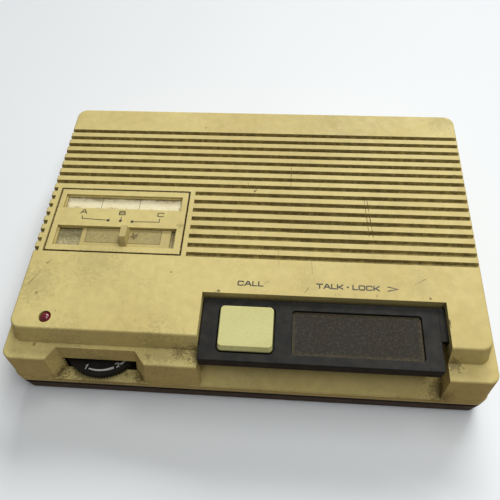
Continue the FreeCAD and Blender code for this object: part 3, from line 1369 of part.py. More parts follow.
def talk_bar():
    """Wide talk key with the frame of the call key, the seat of the insert and the lock tab."""
    body = plate(BAR_X0, BAR_X1, BAR_Y0, BAR_Y1, BAR_LOW_Z, BAR_TOP_Z, BAR_CORNER_R)
    body = soften(body, BAR_EDGE, level_at(BAR_TOP_Z))
    room = box(
        BAR_X0 + BAR_WALL, BAR_X1 - BAR_WALL, BAR_Y0 + BAR_WALL, BAR_Y1 - BAR_WALL,
        BAR_LOW_Z, BAR_UNDER_Z,
    )
    seat = plate(
        INSERT_X0, INSERT_X1, INSERT_Y0, INSERT_Y1,
        BAR_TOP_Z - INSERT_DEPTH, BAR_TOP_Z + OVERRUN, INSERT_R,
    )
    hole = plate(
        KEY_X0 - KEY_GAP, KEY_X1 + KEY_GAP, KEY_Y0 - KEY_GAP, KEY_Y1 + KEY_GAP,
        BAR_LOW_Z, BAR_TOP_Z + OVERRUN, KEY_R + KEY_GAP,
    )
    body = soften(body.cut([room, seat, hole]), BAR_RIM_EDGE, bar_rim)
    tab = box(BAR_X1 - BAR_WALL, BAR_X1 + TAB_L, TAB_Y0, TAB_Y1, TAB_TOP_Z - TAB_T, TAB_TOP_Z)
    bosses = [disc(x, y, CALL_BOARD_Z, BAR_UNDER_Z, CALL_BOSS_R) for x, y in call_bosses()]
    low = CARRIAGE_LOW_Z - SLIDE_GAP - HOOK_HEAD_H
    hooks = []
    for x in HOOK_XS:
        leg = box(x - HOOK_W / 2, x + HOOK_W / 2, BAR_Y - HOOK_T / 2, BAR_Y + HOOK_T / 2, low, BAR_UNDER_Z)
        lip_y = BAR_Y + HOOK_T / 2 + HOOK_LIP
        head = box(x - HOOK_W / 2, x + HOOK_W / 2, BAR_Y - HOOK_T / 2, lip_y, low, low + HOOK_HEAD_H)
        hooks.append(leg.fuse(head))
    pilots = [disc(x, y, CALL_BOARD_Z, BAR_UNDER_Z, TINY_SCREW_R) for x, y in call_bosses()]
    return body.fuse([tab] + bosses + hooks).cut(pilots).removeSplitter()


def bar_rim(edge):
    """Test for the top edges of the key hole and the insert seat."""
    inner = edge.BoundBox.XMin > BAR_X0 + BAR_WALL and edge.BoundBox.XMax < BAR_X1 - BAR_WALL
    return inner and edge.BoundBox.YMin > BAR_Y0 + BAR_WALL and level_at(BAR_TOP_Z)(edge)


def call_bosses():
    """Bosses of the call board, at both sides of the call key."""
    off = CALL_BOSS_SHARE * (KEY_Y1 - KEY_Y0)
    return [(KEY_X + i * CALL_BOSS_REACH, KEY_Y + j * off) for i in (-1, 1) for j in (-1, 1)]


def talk_insert():
    """Textured panel lying in the talk bar."""
    return plate(
        INSERT_X0 + INSERT_GAP, INSERT_X1 - INSERT_GAP, INSERT_Y0 + INSERT_GAP, INSERT_Y1 - INSERT_GAP,
        BAR_TOP_Z - INSERT_DEPTH, BAR_TOP_Z - INSERT_DEPTH + INSERT_T, INSERT_R,
    )


def call_button():
    """Hollow call key with a bevelled front, a hidden flange and a centre stem."""
    low = (KEY_X0, KEY_X1, KEY_Y0, KEY_Y1, KEY_LOW_Z, KEY_R)
    waist = at_height(low, BAR_TOP_Z)
    side = KEY_SIDE_BEVEL
    crown = (KEY_X0 + side, KEY_X1 - side, KEY_Y0 + KEY_FRONT_BEVEL, KEY_Y1 - side, KEY_TOP_Z, KEY_R)
    cap = soften(between(waist, crown), KEY_EDGE_R, level_at(KEY_TOP_Z))
    flange = plate(
        KEY_X0 - KEY_FLANGE, KEY_X1 + KEY_FLANGE, KEY_Y0 - KEY_FLANGE, KEY_Y1 + KEY_FLANGE,
        KEY_LOW_Z, KEY_LOW_Z + KEY_FLANGE_T, KEY_R,
    )
    room = plate(
        KEY_X0 + KEY_WALL, KEY_X1 - KEY_WALL, KEY_Y0 + KEY_WALL, KEY_Y1 - KEY_WALL,
        KEY_LOW_Z - OVERRUN, KEY_CEILING_Z, KEY_R / 2,
    )
    stem = disc(KEY_X, KEY_Y, KEY_CEILING_Z - KEY_STEM_L, KEY_CEILING_Z, KEY_STEM_R)
    return between(low, waist).fuse([cap, flange]).cut(room).fuse(stem).removeSplitter()


def call_board():
    """Small board under the call key, hung from the bosses of the talk bar."""
    xs = [x for x, y in call_bosses()]
    x0, x1 = min(xs) - CALL_BOSS_R, max(xs) + CALL_BOSS_R
    board = box(x0, x1, KEY_Y0, KEY_Y1, CALL_BOARD_Z - CALL_BOARD_T, CALL_BOARD_Z)
    hole = TINY_SCREW_R + SEAT_GAP
    return board.cut([disc(x, y, CARRIAGE_Z, BAR_TOP_Z, hole) for x, y in call_bosses()])


def call_board_screws():
    """Four tiny screws of the call board."""
    seat = CALL_BOARD_Z - CALL_BOARD_T
    length = CALL_BOARD_T + CALL_BOARD_DROP / 2
    screws = []
    for x, y in call_bosses():
        head = disc(x, y, seat - TINY_HEAD_H, seat, CALL_BOSS_R)
        screws.append(head.fuse(disc(x, y, seat, seat + length, TINY_SCREW_R)))
    return group(screws)


def call_switch():
    """Push switch on the call board, below the stem of the key."""
    half = CALL_SWITCH_W / 2
    top = CALL_BOARD_Z + CALL_SWITCH_H
    stem_low = KEY_CEILING_Z - KEY_STEM_L
    body = box(KEY_X - half, KEY_X + half, KEY_Y - half, KEY_Y + half, CALL_BOARD_Z, top)
    plunger = disc(KEY_X, KEY_Y, top, stem_low - CALL_TRAVEL - STOP_GAP, CALL_PLUNGER_R)
    return body.fuse(plunger).removeSplitter()


def call_spring():
    """Coil spring that lifts the call key."""
    return coil_spring(
        KEY_X, KEY_Y, CALL_BOARD_Z, KEY_CEILING_Z, CALL_SPRING_R, CALL_SPRING_TURNS, SPRING_WIRE_R
    )


def talk_carriage():
    """Carriage under the talk bar, with rails for the lock slide, two guide posts and a plunger."""
    y0, y1 = CARRIAGE_Y0, CARRIAGE_Y1
    deck = box(CARRIAGE_X0, CARRIAGE_X1, y0, y1, CARRIAGE_LOW_Z, CARRIAGE_Z)
    rail_top = BAR_UNDER_Z - SLIDE_GAP
    rails = [
        box(RAIL_X0, CARRIAGE_X1 - LOCK_TRAVEL, y, y + RAIL_T, CARRIAGE_LOW_Z, rail_top)
        for y in (y0, y1 - RAIL_T)
    ]
    posts = []
    for x in POST_XS:
        post = disc(x, BAR_Y, POST_LOW_Z, CARRIAGE_Z, POST_R)
        neck = ring(x, BAR_Y, clip_z(), clip_z() + CLIP_T + SLIDE_GAP, POST_R, POST_R - CLIP_NECK_T)
        posts.append(post.cut(neck))
    plunger = disc(PLUNGER_X, BAR_Y, POST_LOW_Z, CARRIAGE_Z, PLUNGER_R)
    slots = []
    for x in HOOK_XS:
        half, off = HOOK_W / 2 + STOP_GAP, HOOK_T / 2 + STOP_GAP
        x0, x1 = x - half, x + half + LOCK_TRAVEL
        slots.append(box(x0, x1, BAR_Y - off, BAR_Y + off, CARRIAGE_LOW_Z, CARRIAGE_Z))
    return deck.fuse(rails + posts + [plunger]).cut(slots).removeSplitter()


def clip_z():
    """Underside of the retaining clips of the guide posts."""
    return WELL_UNDER_Z - BUSHING_H - SLIDE_GAP - CLIP_T


def carriage_clips():
    """Spring clips that stop the guide posts from lifting out."""
    neck = POST_R - CLIP_NECK_T
    half = neck * math.sqrt(0.5)
    low, high = clip_z(), clip_z() + CLIP_T
    clips = []
    for x in POST_XS:
        clip = ring(x, BAR_Y, low, high, CLIP_R, neck)
        clips.append(clip.cut(box(x - half, x + half, BAR_Y, BAR_Y + CLIP_R, low, high)))
    return group(clips)


def talk_springs():
    """Two coil springs that lift the carriage."""
    low, high = WELL_FLOOR_Z, CARRIAGE_LOW_Z
    return group(
        [coil_spring(x, BAR_Y, low, high, TALK_SPRING_R, TALK_SPRING_TURNS, SPRING_WIRE_R) for x in POST_XS]
    )


def talk_switch():
    """Push switch on the base, below the plunger of the carriage."""
    half_x, half_y = TALK_SWITCH_L / 2, TALK_SWITCH_D / 2
    top = POST_LOW_Z - TALK_TRAVEL - STOP_GAP
    body = box(PLUNGER_X - half_x, PLUNGER_X + half_x, BAR_Y - half_y, BAR_Y + half_y, FLOOR_Z, top)
    x0, x1 = PLUNGER_X - half_x - TALK_SWITCH_EAR, PLUNGER_X + half_x + TALK_SWITCH_EAR
    ears = box(x0, x1, BAR_Y - half_y, BAR_Y + half_y, TALK_EAR_Z, TALK_EAR_Z + TALK_SWITCH_EAR_T)
    holes = [disc(x, BAR_Y, FLOOR_Z, TOP_Z, SMALL_SCREW_R + SEAT_GAP) for x in talk_ears()]
    return body.fuse(ears).cut(holes).removeSplitter()


def talk_ears():
    """Places along X of the two ears of the talk switch."""
    reach = TALK_SWITCH_L / 2 + TALK_SWITCH_EAR / 2
    return (PLUNGER_X - reach, PLUNGER_X + reach)


def talk_switch_screws():
    """Two screws of the talk switch."""
    seat = TALK_EAR_Z + TALK_SWITCH_EAR_T
    return group([small_screw(x, BAR_Y, seat, False) for x in talk_ears()])


def speaker_leads():
    """Two wires from the tag strip of the loudspeaker to the main board."""
    x_tag = SPK_X - MAGNET_R - STOP_GAP - TERMINAL_L / 2
    z_tag = BASKET_LOW_Z - TERMINAL_T
    x_end = BOARD_X1 - BOARD_POST_IN
    wires = []
    for side in (-1, 1):
        y = SPK_Y + side * (WIRE_R + WIRE_PAIR_GAP / 2)
        y_end = BOARD_Y1 - 3 * BOARD_POST_IN + side * (WIRE_R + WIRE_PAIR_GAP / 2)
        low = BOARD_TOP_Z + 2 * BOARD_T
        wires.append(
            lead(
                [
                    Vector(x_tag, y, z_tag),
                    Vector(x_tag, y, low),
                    Vector((x_tag + x_end) / 2, (y + y_end) / 2, low),
                    Vector(x_end, y_end, low + BOARD_T),
                    Vector(x_end, y_end, BOARD_TOP_Z),
                ],
                WIRE_R,
            )
        )
    return group(wires)


PIECES = {
    "upper_casing": upper_casing,
    "base_tray": base_tray,
    "rubber_feet": rubber_feet,
    "case_screws": case_screws,
    "channel_bezel": channel_bezel,
    "label_window": label_window,
    "label_card": label_card,
    "slide_guide": slide_guide,
    "channel_slide": channel_slide,
    "channel_wiper": channel_wiper,
    "channel_switch": channel_switch,
    "channel_board": channel_board,
    "switch_screws": switch_screws,
    "led_lens": led_lens,
    "led_leads": led_leads,
    "volume_wheel": volume_wheel,
    "volume_shaft": volume_shaft,
    "wheel_screw": wheel_screw,
    "volume_pot": volume_pot,
    "main_board": main_board,
    "board_screws": board_screws,
    "tuning_cans": tuning_cans,
    "amplifier_chip": amplifier_chip,
    "resistors": resistors,
    "transformer_core": transformer_core,
    "transformer_coil": transformer_coil,
    "transformer_strap": transformer_strap,
    "transformer_screws": transformer_screws,
    "speaker_cloth": speaker_cloth,
    "speaker_gasket": speaker_gasket,
    "speaker_frame": speaker_frame,
    "speaker_cone": speaker_cone,
    "speaker_dust_cap": speaker_dust_cap,
    "speaker_magnet": speaker_magnet,
    "speaker_clamps": speaker_clamps,
    "speaker_screws": speaker_screws,
    "speaker_terminal": speaker_terminal,
    "speaker_leads": speaker_leads,
    "inlet_bush": inlet_bush,
    "inlet_nut": inlet_nut,
    "talk_bar": talk_bar,
    "talk_insert": talk_insert,
    "call_button": call_button,
    "call_board": call_board,
    "call_board_screws": call_board_screws,
    "call_switch": call_switch,
    "call_spring": call_spring,
    "talk_carriage": talk_carriage,
    "carriage_clips": carriage_clips,
    "talk_springs": talk_springs,
    "talk_switch": talk_switch,
    "talk_switch_screws": talk_switch_screws,
}

for name, make in PIECES.items():
    save(name, make())

save("capacitors", standing(CAP_SHARES, CAP_H, CAP_R))
save("transistors", standing(TRANSISTOR_SHARES, TRANSISTOR_H, TRANSISTOR_R))
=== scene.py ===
"""The visual model of a desk intercom: finishes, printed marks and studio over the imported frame."""

import logging
import math
from collections.abc import Sequence
from dataclasses import dataclass
from enum import Enum

import bmesh
import bpy
from mathutils import Matrix, Vector


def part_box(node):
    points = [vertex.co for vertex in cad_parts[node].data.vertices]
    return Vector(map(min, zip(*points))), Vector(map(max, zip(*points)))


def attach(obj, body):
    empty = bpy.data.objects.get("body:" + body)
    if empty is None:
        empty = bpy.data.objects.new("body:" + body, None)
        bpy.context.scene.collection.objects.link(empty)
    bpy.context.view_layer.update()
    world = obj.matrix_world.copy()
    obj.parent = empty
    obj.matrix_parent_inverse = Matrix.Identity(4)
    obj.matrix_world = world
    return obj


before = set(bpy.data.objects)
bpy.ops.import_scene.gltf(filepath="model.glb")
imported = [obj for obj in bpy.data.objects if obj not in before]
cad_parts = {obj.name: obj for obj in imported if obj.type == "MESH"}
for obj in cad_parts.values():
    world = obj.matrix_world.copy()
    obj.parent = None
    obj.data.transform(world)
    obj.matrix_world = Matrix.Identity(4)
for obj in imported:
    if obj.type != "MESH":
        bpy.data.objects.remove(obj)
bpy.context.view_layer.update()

LOG = logging.getLogger("intercom")
MM = 0.001
NOISE_LOW, NOISE_HIGH = 0.3, 0.7  # the span that nearly all of a noise lies in
DOT_SIDES = 20
STROKE_LEVELS = 4

Rgb = tuple[float, float, float]
Point = tuple[float, float]
Spot = tuple[float, float, float]
Feed = bpy.types.NodeSocket | float | tuple[float, ...]


class Body(Enum):
    """The moving bodies that pieces ride on."""

    CASE = "case"
    WHEEL = "wheel"


class Slot(Enum):
    """Record slots named for the added pieces."""

    INK = "black"
    PAINT = "card"


class Kind(Enum):
    """Kinds of node group socket."""

    NUMBER = "NodeSocketFloat"
    COLOUR = "NodeSocketColor"
    VECTOR = "NodeSocketVector"


def srgb(red: int, green: int, blue: int) -> Rgb:
    """Returns the linear colour of an 8-bit one."""
    return tuple(
        (c / 255 / 12.92) if c <= 10 else ((c / 255 + 0.055) / 1.055) ** 2.4 for c in (red, green, blue)
    )


# --- node trees ---------------------------------------------------------------------------


class Graph:
    """Adds nodes to one tree and joins them."""

    def __init__(self, tree: bpy.types.NodeTree) -> None:
        """Keeps the tree that the nodes go into."""
        self.tree = tree

    def node(
        self, kind: str, feeds: dict[str | int, Feed] | None = None, **settings: object
    ) -> bpy.types.Node:
        """Adds a node.

        Args:
            kind: Blender's name for the node's type.
            feeds: what goes into its inputs, by name or number.
            settings: properties of the node itself.

        Returns:
            The new node.
        """
        made = self.tree.nodes.new(kind)
        for name, value in settings.items():
            setattr(made, name, value)
        for key, feed in (feeds or {}).items():
            self.feed(made.inputs[key], feed)
        return made

    def feed(self, socket: bpy.types.NodeSocket, feed: Feed) -> None:
        """Links a socket to an input, or sets the input's own value.

        Args:
            socket: the input.
            feed: another node's output, a number or a colour.
        """
        if isinstance(feed, bpy.types.NodeSocket):
            self.tree.links.new(feed, socket)
        elif isinstance(feed, tuple) and len(feed) == 3 and socket.type == "RGBA":
            socket.default_value = (*feed, 1.0)
        else:
            socket.default_value = feed

    def math(self, operation: str, *feeds: Feed, clamp: bool = False) -> bpy.types.NodeSocket:
        """Returns the result of a Math node over the feeds."""
        return self.node(
            "ShaderNodeMath", dict(enumerate(feeds)), operation=operation, use_clamp=clamp
        ).outputs[0]

    def vector(self, operation: str, *feeds: Feed, output: int = 0) -> bpy.types.NodeSocket:
        """Returns an output of a Vector Math node over the feeds."""
        return self.node(
            "ShaderNodeVectorMath", dict(enumerate(feeds)), operation=operation
        ).outputs[output]

    def place(self) -> bpy.types.NodeSocket:
        """Returns the point on the piece, in metres of the object's frame."""
        return self.node("ShaderNodeTexCoord").outputs["Object"]

    def noise(
        self, size: Feed, detail: float = 3.0, rough: float = 0.55, at: Feed | None = None
    ) -> bpy.types.NodeSocket:
        """Adds a noise.

        Args:
            size: the size of its patches, in metres.
            detail: octaves.
            rough: how strong the finer octaves are.
            at: where to read it, or None for the point on the piece.

        Returns:
            The noise, about 0.3 to 0.7.
        """
        scale = self.math("DIVIDE", 1.0, size)
        where = self.place() if at is None else at
        feeds = {"Vector": where, "Scale": scale, "Detail": detail, "Roughness": rough}
        return self.node("ShaderNodeTexNoise", feeds).outputs[0]

    def ramp(
        self, value: Feed, low: Feed, high: Feed, to_low: Feed = 0.0, to_high: Feed = 1.0
    ) -> bpy.types.NodeSocket:
        """Returns a smooth step of value from low to high, between to_low and to_high."""
        feeds = dict(enumerate((value, low, high, to_low, to_high)))
        return self.node(
            "ShaderNodeMapRange", feeds, interpolation_type="SMOOTHSTEP", clamp=True
        ).outputs[0]

    def mix(self, share: Feed, first: Feed, second: Feed, blend: str = "MIX") -> bpy.types.NodeSocket:
        """Returns a mix of two colours."""
        feeds = {0: share, 6: first, 7: second}
        return self.node("ShaderNodeMix", feeds, data_type="RGBA", blend_type=blend).outputs[2]

    def grey(self, value: Feed) -> bpy.types.NodeSocket:
        """Returns a grey colour of that value."""
        return self.node("ShaderNodeCombineColor", {0: value, 1: value, 2: value}).outputs[0]

    def group(self, tree: bpy.types.NodeTree, output: str, **feeds: Feed) -> bpy.types.NodeSocket:
        """Places a node group.

        Args:
            tree: the group.
            output: the name of the output that is wanted.
            feeds: its inputs by name, with _ for a space.

        Returns:
            The output.
        """
        named = {name.replace("_", " ").title(): feed for name, feed in feeds.items()}
        return self.node("ShaderNodeGroup", named, node_tree=tree).outputs[output]


@dataclass(frozen=True)
class Port:
    """A socket on a group's face."""

    name: str
    kind: Kind = Kind.NUMBER
    value: float | tuple[float, ...] = 0.0


class Group(Graph):
    """A node group under construction."""

    def __init__(self, name: str, inputs: Sequence[Port], outputs: Sequence[Port]) -> None:
        """Makes the group's tree and its faces.

        Args:
            name: the group's name.
            inputs: its input sockets.
            outputs: its output sockets.
        """
        super().__init__(bpy.data.node_groups.new(name, "ShaderNodeTree"))
        for ports, way in ((inputs, "INPUT"), (outputs, "OUTPUT")):
            for port in ports:
                socket = self.tree.interface.new_socket(port.name, in_out=way, socket_type=port.kind.value)
                if way == "INPUT":
                    value = port.value
                    socket.default_value = (*value, 1.0) if port.kind is Kind.COLOUR else value
        self.given = self.tree.nodes.new("NodeGroupInput").outputs
        self.results = self.tree.nodes.new("NodeGroupOutput").inputs

    def result(self, **feeds: Feed) -> bpy.types.NodeTree:
        """Joins the outputs.

        Args:
            feeds: what each output gives, named with _ for a space.

        Returns:
            The finished tree.
        """
        for name, feed in feeds.items():
            self.feed(self.results[name.replace("_", " ").title()], feed)
        return self.tree


class Effects:
    """The shared surface effects, each a node group built once."""

    def __init__(self) -> None:
        """Builds every group."""
        self.drift = self._drift()
        self.grain = self._grain()
        self.specks = self._specks()
        self.scratches = self._scratches()
        self.ragged_patch = self._ragged_patch()
        self.scuff = self._scuff()
        self.rim = self._rim()
        self.level = self._level()
        self.cavity_dirt_and_shade = self._cavity_dirt_and_shade()
        self.dust = self._dust()
        self.facing = self._facing()
        self.weave = self._weave()
        self.brushing = self._brushing()
        self.fibres = self._fibres()

    def _drift(self) -> bpy.types.NodeTree:
        """Builds the slow change of a colour: broad aged patches and a little fine unevenness.

        Returns:
            The group.
        """
        group = Group(
            "age_drift",
            [Port("Colour", Kind.COLOUR, (0.5, 0.5, 0.5)), Port("Aged", Kind.COLOUR, (0.4, 0.4, 0.4)),
             Port("Amount", value=0.5), Port("Patch", value=0.03)],
            [Port("Colour", Kind.COLOUR)],
        )
        given = group.given
        broad = group.ramp(group.noise(given["Patch"], 5.0, 0.6), 0.36, 0.68)
        aged = group.mix(group.math("MULTIPLY", broad, given["Amount"]), given["Colour"], given["Aged"])
        fine = group.noise(group.math("MULTIPLY", given["Patch"], 0.06), 2.0)
        shade = group.ramp(fine, NOISE_LOW, NOISE_HIGH, 0.955, 1.045)
        return group.result(colour=group.mix(1.0, aged, group.grey(shade), "MULTIPLY"))

    def _grain(self) -> bpy.types.NodeTree:
        """Builds the fine pebbled texture of a spark-eroded mould, as a height in metres.

        Returns:
            The group.
        """
        group = Group(
            "fine_grain", [Port("Size", value=0.0004), Port("Depth", value=0.00001)], [Port("Height")]
        )
        given = group.given
        pebble = group.noise(given["Size"], 2.0, 0.5)
        wave = group.noise(group.math("MULTIPLY", given["Size"], 22.0), 2.0, 0.5)
        both = group.math("ADD", pebble, group.math("MULTIPLY", wave, 2.5))
        return group.result(height=group.math("MULTIPLY", both, given["Depth"]))

    def _specks(self) -> bpy.types.NodeTree:
        """Builds scattered dark dots, each a size of its own.

        Returns:
            The group.
        """
        group = Group("specks", [Port("Size", value=0.004), Port("Share", value=0.3)], [Port("Mask")])
        given = group.given
        cells = group.node(
            "ShaderNodeTexVoronoi",
            {"Vector": group.place(), "Scale": group.math("DIVIDE", 1.0, given["Size"])}
        )
        draw = group.node("ShaderNodeSeparateColor", {0: cells.outputs["Color"]})
        chosen = group.math("LESS_THAN", draw.outputs[0], given["Share"])
        reach = group.math("MULTIPLY_ADD", draw.outputs[1], 0.09, 0.03)
        spot = group.ramp(cells.outputs["Distance"], reach, 0.0)
        return group.result(mask=group.math("MULTIPLY", spot, chosen))

    def _scratches(self) -> bpy.types.NodeTree:
        """Builds thin curved scuff lines that lie mostly one way, in patches.

        Returns:
            The group.
        """
        group = Group(
            "scratches", [Port("Angle", value=0.4), Port("Size", value=0.02), Port("Share", value=0.5)],
            [Port("Mask")]
        )
        given = group.given
        turned = group.node(
            "ShaderNodeVectorRotate", {"Vector": group.place(), "Angle": given["Angle"]},
            rotation_type="Z_AXIS"
        ).outputs[0]
        long_way = group.vector("MULTIPLY", turned, (0.16, 1.0, 1.0))
        lines = group.noise(group.math("MULTIPLY", given["Size"], 0.22), 1.0, 0.4, long_way)
        thin = group.ramp(group.math("ABSOLUTE", group.math("SUBTRACT", lines, 0.5)), 0.006, 0.0)
        broad = group.noise(given["Size"], 2.0)
        least = group.math("SUBTRACT", 0.78, group.math("MULTIPLY", given["Share"], 0.4))
        patch = group.ramp(broad, least, 0.8)
        return group.result(mask=group.math("MULTIPLY", thin, patch))

    def _ragged_patch(self) -> bpy.types.NodeTree:
        """Builds one ragged patch about a point.

        Returns:
            The group.
        """
        group = Group(
            "ragged_patch",
            [Port("Centre", Kind.VECTOR, (0.0, 0.0, 0.0)), Port("Radius", value=0.01),
             Port("Grit", value=0.002), Port("Softness", value=0.47)],
            [Port("Mask")],
        )
        given = group.given
        away = group.math(
            "DIVIDE", group.vector("DISTANCE", group.place(), given["Centre"], output=1), given["Radius"]
        )
        ragged = group.math("MULTIPLY_ADD", group.noise(given["Grit"], 4.0, 0.7), 3.0, -1.5)
        least, most = (group.math(way, 0.52, given["Softness"]) for way in ("ADD", "SUBTRACT"))
        return group.result(mask=group.ramp(group.math("ADD", away, ragged), least, most))

    def _scuff(self) -> bpy.types.NodeTree:
        """Builds one thin broken line from a point to another.

        Returns:
            The group.
        """
        group = Group(
            "scuff_line",
            [
                Port("Start", Kind.VECTOR, (0.0, 0.0, 0.0)), Port("End", Kind.VECTOR, (1.0, 0.0, 0.0)),
                Port("Width", value=0.0004)
            ],
            [Port("Mask")],
        )
        given = group.given
        along = group.vector("SUBTRACT", given["End"], given["Start"])
        out = group.vector("SUBTRACT", group.place(), given["Start"])
        dots = [group.vector("DOT_PRODUCT", v, along, output=1) for v in (out, along)]
        share = group.math("DIVIDE", *dots, clamp=True)
        nearest = group.node(
            "ShaderNodeVectorMath", {0: along, "Scale": share}, operation="SCALE"
        ).outputs[0]
        away = group.math("DIVIDE", group.vector("DISTANCE", out, nearest, output=1), given["Width"])
        broken = group.math("MULTIPLY_ADD", group.noise(0.0016, 4.0, 0.7), 2.4, -1.2)
        return group.result(mask=group.ramp(group.math("ADD", away, broken), 0.7, 0.1))

    def _rim(self) -> bpy.types.NodeTree:
        """Builds the distance from a level rectangle's nearest side, in metres.

        Returns:
            The group.
        """
        group = Group(
            "rim_distance",
            [Port("Low", Kind.VECTOR, (0.0, 0.0, 0.0)), Port("High", Kind.VECTOR, (1.0, 1.0, 0.0))],
            [Port("Distance")]
        )
        sides = (
            group.vector("SUBTRACT", group.place(), group.given["Low"]),
            group.vector("SUBTRACT", group.given["High"], group.place())
        )
        nearest = group.node("ShaderNodeSeparateXYZ", {0: group.vector("MINIMUM", *sides)}).outputs
        return group.result(distance=group.math("MINIMUM", nearest[0], nearest[1]))

    def _level(self) -> bpy.types.NodeTree:
        """Builds a mask that goes from 1 at one height to 0 at another.

        Returns:
            The group.
        """
        group = Group("level", [Port("Full", value=0.0), Port("None", value=0.001)], [Port("Mask")])
        height = group.node("ShaderNodeSeparateXYZ", {0: group.place()}).outputs[2]
        return group.result(mask=group.ramp(height, group.given["Full"], group.given["None"], 1.0, 0.0))

    def _cavity_dirt_and_shade(self) -> bpy.types.NodeTree:
        """Builds the dirt and painted shade that gather in corners, from how open the surface is.

        Returns:
            The group.
        """
        group = Group(
            "cavity_dirt_and_painted_shade", [Port("Openness", value=1.0), Port("Grit", value=0.002)], [Port("Mask")]
        )
        given = group.given
        closed = group.ramp(given["Openness"], 0.86, 0.38)
        ragged = group.ramp(group.noise(given["Grit"], 4.0, 0.65), 0.34, 0.62, 0.45, 1.0)
        return group.result(mask=group.math("MULTIPLY", closed, ragged))

    def _dust(self) -> bpy.types.NodeTree:
        """Builds the film that settles on upward faces.

        Returns:
            The group.
        """
        group = Group("dust_film", [Port("Amount", value=0.3), Port("Grit", value=0.003)], [Port("Mask")])
        given = group.given
        up = group.node(
            "ShaderNodeSeparateXYZ", {0: group.node("ShaderNodeTexCoord").outputs["Normal"]}
        ).outputs[2]
        lies = group.ramp(up, 0.1, 1.0)
        cloud = group.ramp(group.noise(given["Grit"], 6.0, 0.7), 0.34, 0.72)
        lying = group.math("MULTIPLY", lies, cloud)
        return group.result(mask=group.math("MULTIPLY", lying, given["Amount"]))

    def _facing(self) -> bpy.types.NodeTree:
        """Builds a mask of the faces that look along a direction.

        Returns:
            The group.
        """
        group = Group(
            "facing",
            [
                Port("Direction", Kind.VECTOR, (0.0, 0.0, 1.0)), Port("Least", value=0.2),
                Port("Full", value=0.7)
            ],
            [Port("Mask")]
        )
        looks = group.vector(
            "DOT_PRODUCT", group.node("ShaderNodeTexCoord").outputs["Normal"], group.given["Direction"],
            output=1
        )
        return group.result(mask=group.ramp(looks, group.given["Least"], group.given["Full"]))

    def _weave(self) -> bpy.types.NodeTree:
        """Builds crossing rows, for woven cloth and for moulded pins.

        Returns:
            The group.
        """
        group = Group("weave", [Port("Pitch", value=0.0006), Port("Angle", value=0.785)], [Port("Mask")])
        feeds = {"Vector": group.place(), "Angle": group.given["Angle"]}
        turned = group.node("ShaderNodeVectorRotate", feeds, rotation_type="Z_AXIS").outputs[0]
        parts = group.node("ShaderNodeSeparateXYZ", {0: turned}).outputs
        pace = group.math("DIVIDE", 2 * math.pi, group.given["Pitch"])
        waves = [group.math("SINE", group.math("MULTIPLY", parts[i], pace)) for i in (0, 1)]
        return group.result(mask=group.math("MULTIPLY_ADD", group.math("MULTIPLY", *waves), 0.5, 0.5))

    def _brushing(self) -> bpy.types.NodeTree:
        """Builds the fine drawn lines of rolled or turned metal.

        Returns:
            The group.
        """
        group = Group("brushing", [Port("Size", value=0.0005)], [Port("Mask")])
        drawn = group.vector("MULTIPLY", group.place(), (0.06, 1.0, 1.0))
        return group.result(
            mask=group.ramp(group.noise(group.given["Size"], 3.0, 0.6, drawn), NOISE_LOW, NOISE_HIGH)
        )

    def _fibres(self) -> bpy.types.NodeTree:
        """Builds the clouded, matted look of paper and felt.

        Returns:
            The group.
        """
        group = Group("fibres", [Port("Size", value=0.001)], [Port("Mask")])
        scale = group.math("DIVIDE", 1.0, group.given["Size"])
        feeds = {
            "Vector": group.place(), "Scale": scale, "Detail": 5.0, "Roughness": 0.7, "Distortion": 1.6
        }
        return group.result(
            mask=group.ramp(group.node("ShaderNodeTexNoise", feeds).outputs[0], NOISE_LOW, NOISE_HIGH)
        )


# --- finishes -----------------------------------------------------------------------------


class Surface(Graph):
    """A material under construction, with a Principled shader and a Bump."""

    def __init__(self, name: str, effects: Effects) -> None:
        """Makes the material.

        Args:
            name: its name.
            effects: the shared node groups.
        """
        self.material = bpy.data.materials.new(name)
        self.material.use_nodes = True
        super().__init__(self.material.node_tree)
        self.effects = effects
        self.shader = self.tree.nodes["Principled BSDF"]

    def set(self, **feeds: Feed) -> None:
        """Feeds the shader.

        Args:
            feeds: what goes into its sockets, named with _ for a space.
        """
        for name, feed in feeds.items():
            key = name.replace("_", " ").title().replace("Ior", "IOR")
            self.feed(self.shader.inputs[key], feed)

    def bump(self, height: Feed) -> None:
        """Shapes the surface by a height in metres."""
        made = self.node("ShaderNodeBump", {"Height": height, "Distance": 1.0, "Strength": 1.0})
        self.feed(self.shader.inputs["Normal"], made.outputs[0])

    def openness(self, reach: float) -> bpy.types.NodeSocket:
        """Returns how open each point is to its surroundings within reach, from 0 to 1."""
        return self.node(
            "ShaderNodeAmbientOcclusion", {"Distance": reach}, samples=8, only_local=True
        ).outputs["AO"]

    def rim(self, low: Point, high: Point) -> bpy.types.NodeSocket:
        """Returns the distance from the nearest side of a level rectangle."""
        return self.group(self.effects.rim, "Distance", low=(*low, -1.0), high=(*high, 1.0))

    def drift(self, colour: Rgb, aged: Rgb, amount: float, patch: float) -> bpy.types.NodeSocket:
        """Returns the colour with its aged patches."""
        return self.group(
            self.effects.drift, "Colour", colour=colour, aged=aged, amount=amount, patch=patch
        )

    def dirt(self, colour: Feed, mask: Feed, dirt: Rgb, amount: float = 1.0) -> bpy.types.NodeSocket:
        """Returns the colour with another laid over it where the mask is: dirt, and also painted shade,
        shadow and highlight.
        """
        share = mask if amount == 1.0 else self.math("MULTIPLY", mask, amount, clamp=True)
        return self.mix(share, colour, dirt)


